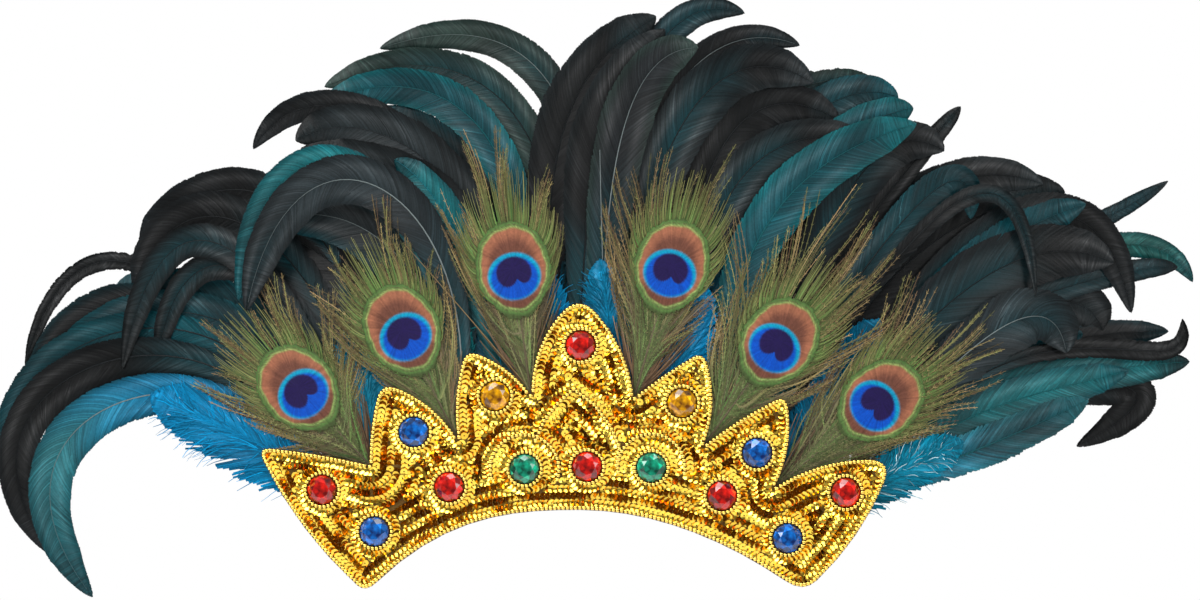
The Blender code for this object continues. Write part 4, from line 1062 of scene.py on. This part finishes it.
def make_beads(outline, materials):
    chance = np.random.default_rng(7)
    places, heading = evenly(outline, BEAD, closed=True)
    piping = Pieces()
    add_beads(piping, places - turned(heading) * BEAD_INSET, BEAD_RADIUS, chance)
    for path in cord_paths():
        add_beads(piping, evenly(path, BEAD)[0], BEAD_RADIUS, chance)
    settle(piping.make("seed_beads", materials["bead"]), "edge_piping")
    for gem in GEMS:
        ring = Pieces()
        places = evenly(round_stone(gem, RING_RADIUS)[:-1], BEAD, closed=True)[0]
        add_beads(ring, places, RING_BEAD_RADIUS, chance)
        settle(ring.make("bead_row_" + gem.name, materials["bead"]), "bead_ring_" + gem.name)


def inside(place, outline):
    """Whether a point lies inside the outline, by the crossings of a ray."""
    x, z = outline[:, 0], outline[:, 1]
    next_x, next_z = np.roll(x, -1), np.roll(z, -1)
    spans = (z > place[1]) != (next_z > place[1])
    with np.errstate(divide="ignore", invalid="ignore"):
        crossing = x + (place[1] - z) / (next_z - z) * (next_x - x)
    return bool(np.count_nonzero(spans & (place[0] < crossing)) % 2)


def nearest(points, place):
    return np.linalg.norm(points - place, axis=1).min()


def row_sources(outline):
    """Lines that sequin rows follow: points, directions out, margin, and kind of line."""
    edge, heading = evenly(outline, LINE_STEP, closed=True)
    sources = [(edge, -turned(heading), EDGE_MARGIN, EDGE_LINE)]
    for gem in GEMS:
        out = direction(np.arange(0, 360, 4))
        points = crown_point(gem.across, gem.up) + out * RING_RADIUS
        sources.append((points, out, LINE_MARGIN, STONE_LINE))
    for peak in PEAKS[:-1]:
        out = direction(np.arange(180, 360, 2))
        notch = np.tile(crown_point(peak.notch_across, peak.notch_up), (len(out), 1))
        sources.append((notch, out, EDGE_MARGIN, EDGE_LINE))
    for path in cord_paths():
        points, heading = evenly(path, LINE_STEP)
        for out in (-turned(heading), turned(heading)):
            sources.append((points, out, LINE_MARGIN, CORD_LINE))
    return sources


def sequin_rows(outline):
    """Places, headings and rows' levels of sequins that follow the outline, cords and stones."""
    sources = row_sources(outline)
    stones = np.array([crown_point(gem.across, gem.up) for gem in GEMS])
    cords = np.concatenate([evenly(path, LINE_STEP)[0] for path in cord_paths()])
    lines = ((sources[0][0], EDGE_MARGIN), (stones, RING_RADIUS + LINE_MARGIN), (cords, LINE_MARGIN))
    places, kept = [], []
    for level in range(SEQUIN_LEVELS):
        for points, normals, margin, kind in sources:
            if kind == STONE_LINE and level > 0:
                continue
            beyond = SEQUIN_ROW * (level + 0.45)
            last = None
            for place, out in zip(points + normals * (margin + beyond), normals):
                if last is not None and np.linalg.norm(place - last) < SEQUIN_PITCH:
                    continue
                gaps = [nearest(line, place) - free for line, free in lines]
                if gaps[kind] < beyond - 0.0002 or min(gaps) < 0.0004:
                    continue
                if places and nearest(np.array(places), place) < SEQUIN_PITCH * 0.86:
                    continue
                if not inside(place, outline):
                    continue
                last = place
                places.append(place)
                kept.append((place, turned(out), level))
    return kept


def make_sequins(outline, materials):
    """Cup sequins, each tilted over the next one of its row, with painted highlight and shade in their
    tint.
    """
    chance = np.random.default_rng(11)
    circle = ray(np.linspace(0.0, WHOLE_TURN, SEQUIN_SIDES, endpoint=False))
    out = np.array((0.0, -1.0, 0.0))
    pieces = Pieces()
    for (x, z), heading, level in sequin_rows(outline):
        wave = math.sin(x * 310.0 + 2.0 * math.sin(z * 190.0)) + math.sin(z * 420.0 + x * 150.0)
        chain = level % 2
        tilt = SEQUIN_TILT + 0.21 * chain + 0.07 * wave + chance.normal(0.0, 0.04)
        roll = 0.08 * wave - 0.25 * chain + chance.normal(0.0, 0.05)
        # Painted highlight and shade: the tint runs from amber to lemon gold with the row's parity and the
        # wave that also sets the tilt
        share = 0.70 - 0.30 * chain - 0.16 * wave + chance.normal(0.0, 0.2)
        shade = mix(linear("amber"), linear("lemon"), min(max(share, 0.0), 1.0))
        u, v = in_space(heading, 0.0), in_space(turned(heading), 0.0)
        forward = u * math.cos(tilt) + out * math.sin(tilt)
        normal = out * math.cos(tilt) - u * math.sin(tilt)
        sideways = v * math.cos(roll) + normal * math.sin(roll)
        normal = normal * math.cos(roll) - v * math.sin(roll)
        middle = np.array((x, bow(x) - PANEL_THICKNESS - SEQUIN_LIFT, z))
        disc = circle[:, :1] * forward + circle[:, 1:] * sideways
        rings = [middle + disc * size * SEQUIN_RADIUS - normal * cup for size, cup in SEQUIN_CUP]
        pieces.add_grid(np.stack(rings), shade)
    item = pieces.make("sequins", materials["sequin"])
    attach(item, "root")


def make_gem(gem, materials):
    """A brilliant-cut stone with a table, stars, kites and girdle facets, each with its own painted
    reflection brightness.
    """
    chance = np.random.default_rng(500 + GEMS.index(gem))
    x = gem.across * CROWN_HALF
    turn = chance.uniform(0.0, 0.7)
    points = []
    for radius, sides, height, shift in GEM_CIRCLES:
        for place in radius * ray(WHOLE_TURN * (np.arange(sides) + shift) / sides + turn):
            points.append((place[0], -height, place[1]))
    faces = [tuple(range(40, 48))]
    faces += [(side, (side + 1) % 16, 16 + (side + 1) % 16, 16 + side) for side in range(16)]
    for side in range(8):
        corner, mid, girdle = 40 + side, 32 + side, 16 + 2 * side
        faces.append((corner, 40 + (side + 1) % 8, mid))
        faces.append((corner, 32 + (side - 1) % 8, girdle, mid))
        faces.append((mid, girdle, girdle + 1))
        faces.append((mid, girdle + 1, 16 + (2 * side + 2) % 16))
    mesh = bpy.data.meshes.new("stone_" + gem.name)
    mesh.from_pydata(points, [], faces)
    layer = mesh.color_attributes.new("tint", "FLOAT_COLOR", "CORNER")
    for face in mesh.polygons:
        # Painted reflections: each facet gets a random brightness in its tint, lighter or darker as if it
        # caught the light
        shade = 0.75 if face.index == 0 else chance.choice((0.3, 0.6, 1.0, 1.7), p=(0.3, 0.3, 0.25, 0.15))
        for loop in face.loop_indices:
            layer.data[loop].color = (shade, shade, shade, 1.0)
    mesh.materials.append(materials[gem.colour])
    item = add_object("stone_" + gem.name, mesh)
    item.location = (x, bow(x) - PANEL_THICKNESS - GAP, gem.up * CROWN_HEIGHT)
    item.rotation_euler.z = math.atan(x / BOW_RADIUS)
    settle(item, "gem_" + gem.name)


def make_strands(materials):
    pieces = Pieces()
    t = np.linspace(0.0, 1.0, 30)
    for strand in STRANDS:
        path = bent(*(fan_point(*pair) for pair in zip(strand[4::2], strand[5::2])), t)
        radius = strand.width / 2.0 * (0.35 + 0.65 * t)
        tints = np.tile(linear(strand.tone), (len(t), 1))
        pieces.add_tube(path, layer_depth(path, strand.layer), radius, tints)
    item = pieces.make("loose_strands", materials["coque"])
    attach(item, "root")


def feed(tree, node, inputs):
    """Links the inputs that are given as sockets, and sets the others."""
    for key, value in inputs.items():
        if isinstance(value, bpy.types.NodeSocket):
            tree.links.new(value, node.inputs[key])
        else:
            node.inputs[key].default_value = value


def add_node(tree, kind, inputs, **settings):
    node = tree.nodes.new("ShaderNode" + kind)
    for key, value in settings.items():
        setattr(node, key, value)
    feed(tree, node, inputs)
    return node.outputs


def new_material(name):
    material = bpy.data.materials.new(name)
    material.use_nodes = True
    return material, material.node_tree, material.node_tree.nodes["Principled BSDF"]


def tint_of(tree):
    return add_node(tree, "Attribute", {}, attribute_name="tint")["Color"]


def object_place(tree):
    return add_node(tree, "TexCoord", {})["Object"]


def fine_noise(tree, scale, detail):
    inputs = {"Vector": object_place(tree), "Scale": scale, "Detail": detail}
    return add_node(tree, "TexNoise", inputs)["Fac"]


def between(tree, value, low, high, **span):
    inputs = {"Value": value, "To Min": low, "To Max": high}
    inputs.update({"From " + key: limit for key, limit in span.items()})
    return add_node(tree, "MapRange", inputs)["Result"]


def ramp(tree, share, low, high, start=0.0, end=1.0):
    node = tree.nodes.new("ShaderNodeValToRGB")
    tree.links.new(share, node.inputs["Fac"])
    for stop, position, colour in zip(node.color_ramp.elements, (start, end), (low, high)):
        stop.position = position
        stop.color = (*colour, 1.0)
    return node.outputs["Color"]


def add_bump(tree, height, strength, distance):
    return add_node(tree, "Bump", {"Height": height, "Strength": strength, "Distance": distance})["Normal"]


def feather_material(name, roughness, sheen, tint):
    """Barbs in their tint, which a fine noise varies."""
    material, tree, shader = new_material(name)
    noise = fine_noise(tree, 900.0, 4.0)
    strength = between(tree, noise, 0.72, 1.3)
    scaled = add_node(tree, "VectorMath", {0: tint_of(tree), "Scale": strength}, operation="SCALE")
    feed(tree, shader, {
        "Base Color": scaled["Vector"],
        "Roughness": roughness,
        "Specular IOR Level": 0.12,
        "Sheen Weight": sheen,
        "Sheen Roughness": 0.35,
        "Sheen Tint": (*tint, 1.0),
        "Normal": add_bump(tree, noise, 0.25, 0.0003),
    })
    return material


def gold_material(name, colour, roughness, dark):
    """Metallic gold whose tone and gloss vary a little from place to place."""
    material, tree, shader = new_material(name)
    noise = fine_noise(tree, 420.0, 3.0)
    tone = ramp(tree, noise, [share * dark for share in colour], colour, 0.3, 0.7)
    toned = add_node(tree, "VectorMath", {0: tone, 1: tint_of(tree)}, operation="MULTIPLY")
    feed(tree, shader, {
        "Base Color": toned["Vector"],
        "Roughness": between(tree, noise, roughness * 0.7, roughness * 1.4),
        "Metallic": 1.0,
        "Normal": add_bump(tree, noise, 0.15, 0.0002),
    })
    return material


def cloth_material(name):
    """The gold gauze that the sequins are sewn on, woven by two crossed waves."""
    material, tree, shader = new_material(name)
    waves = []
    for axis in ("X", "Z"):
        inputs = {"Vector": object_place(tree), "Scale": 700.0}
        waves.append(add_node(tree, "TexWave", inputs, bands_direction=axis)["Fac"])
    woven = add_node(tree, "Math", dict(enumerate(waves)), operation="MULTIPLY")["Value"]
    feed(tree, shader, {
        "Base Color": ramp(tree, woven, (0.05, 0.024, 0.002), (0.30, 0.16, 0.015)),
        "Roughness": 0.4,
        "Metallic": 0.6,
        "Normal": add_bump(tree, woven, 0.5, 0.0003),
    })
    return material


def glass_material(name, colour, glow):
    """Foil-backed glass: clouded, glossy, with each facet's painted reflection brightness from its tint.
    """
    material, tree, shader = new_material(name)
    noise = fine_noise(tree, 330.0, 2.0)
    cloud = ramp(tree, noise, [share * 0.45 for share in colour], glow, 0.32, 0.68)
    inputs = {"Factor": 1.0, 6: cloud, 7: tint_of(tree)}
    facets = add_node(tree, "Mix", inputs, data_type="RGBA", blend_type="MULTIPLY")
    feed(tree, shader, {
        "Base Color": facets[2],
        "Roughness": 0.06,
        "IOR": 1.6,
        "Specular IOR Level": 0.5,
        "Coat Weight": 0.35,
        "Coat Roughness": 0.03,
    })
    return material


def make_materials():
    return {
        "coque": feather_material("coque_barbs", 0.36, 0.0, (0.35, 0.75, 0.8)),
        "down": feather_material("coque_down", 0.8, 0.08, (0.3, 0.75, 0.95)),
        "herl": feather_material("peacock_herls", 0.55, 0.05, (0.75, 0.8, 0.35)),
        "eye": feather_material("peacock_eye", 0.45, 0.04, (0.6, 0.7, 0.9)),
        "felt": feather_material("black_felt", 0.95, 0.15, (0.4, 0.45, 0.5)),
        "bead": gold_material("gold_seed_beads", (1.0, 0.68, 0.13), 0.24, 0.75),
        "sequin": gold_material("gold_sequins", (1.0, 0.78, 0.16), 0.14, 0.95),
        "cloth": cloth_material("gold_gauze"),
        "red": glass_material("red_glass", (0.32, 0.001, 0.001), (0.76, 0.010, 0.004)),
        "amber": glass_material("amber_glass", (0.30, 0.08, 0.0), (0.86, 0.40, 0.0)),
        "green": glass_material("green_glass", (0.0, 0.11, 0.065), (0.006, 0.36, 0.20)),
        "blue": glass_material("blue_glass", (0.0, 0.03, 0.22), (0.002, 0.16, 0.62)),
    }


def make_world():
    """White behind the object, and a softer light all round it."""
    world = bpy.data.worlds.new("studio")
    bpy.context.scene.world = world
    world.use_nodes = True
    tree = world.node_tree
    tree.nodes.clear()
    place = add_node(tree, "TexCoord", {})["Generated"]
    height = add_node(tree, "SeparateXYZ", {"Vector": place})["Z"]
    strength = between(tree, height, 0.05, 0.4, Min=-0.3, Max=0.8)
    seen = add_node(tree, "Background", {"Color": WHITE, "Strength": 1.0})["Background"]
    lit = add_node(tree, "Background", {"Color": WHITE, "Strength": strength})["Background"]
    camera_ray = add_node(tree, "LightPath", {})["Is Camera Ray"]
    blend = add_node(tree, "MixShader", {"Fac": camera_ray, 1: lit, 2: seen})["Shader"]
    add_node(tree, "OutputWorld", {"Surface": blend})


def add_area(name, place, size, power):
    light = bpy.data.lights.new(name, "AREA")
    light.size = size
    light.energy = power
    item = add_object(name, light)
    item.location = place
    aim = np.array(LIGHT_TARGET) - np.array(place)
    yaw = math.atan2(aim[1], aim[0]) - math.pi / 2.0
    pitch = math.atan2(aim[2], math.hypot(aim[0], aim[1])) + math.pi / 2.0
    item.rotation_euler = (pitch, 0.0, yaw)


def make_stage():
    mesh = bpy.data.meshes.new("floor")
    signs = ((-1, -1), (1, -1), (1, 1), (-1, 1))
    corners = [(x * FLOOR_HALF, y * FLOOR_HALF, FLOOR_LEVEL) for x, y in signs]
    mesh.from_pydata(corners, [], [(0, 1, 2, 3)])
    material, tree, shader = new_material("pale_floor")
    feed(tree, shader, {"Base Color": (0.9, 0.9, 0.9, 1.0), "Roughness": 0.8})
    mesh.materials.append(material)
    floor = add_object("floor", mesh)
    for light in LIGHTS:
        add_area(*light)


def make_camera():
    camera = bpy.data.cameras.new("camera")
    camera.sensor_width = SENSOR_WIDTH
    camera.lens = SENSOR_WIDTH * CAMERA_DISTANCE / PHOTO_WIDTH
    camera.clip_end = CLIP_DISTANCE
    item = add_object("camera", camera)
    item.location = (PHOTO_MIDDLE_X, -CAMERA_DISTANCE, PHOTO_MIDDLE_Z)
    item.rotation_euler = (math.pi / 2.0, 0.0, 0.0)
    bpy.context.scene.camera = item


def main():
    make_camera()
    make_world()
    make_stage()
    bpy.context.scene.view_settings.view_transform = "Standard"
    materials = make_materials()
    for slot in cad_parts["crown_panel"].material_slots:
        slot.material = materials["cloth"]
    outline = crown_outline()
    make_beads(outline, materials)
    make_sequins(outline, materials)
    for gem in GEMS:
        make_gem(gem, materials)
    for index in range(len(PEACOCKS)):
        make_peacock(index, materials)
    for index in range(len(BUNCHES)):
        make_bunch(index, materials)
    make_strands(materials)


main()
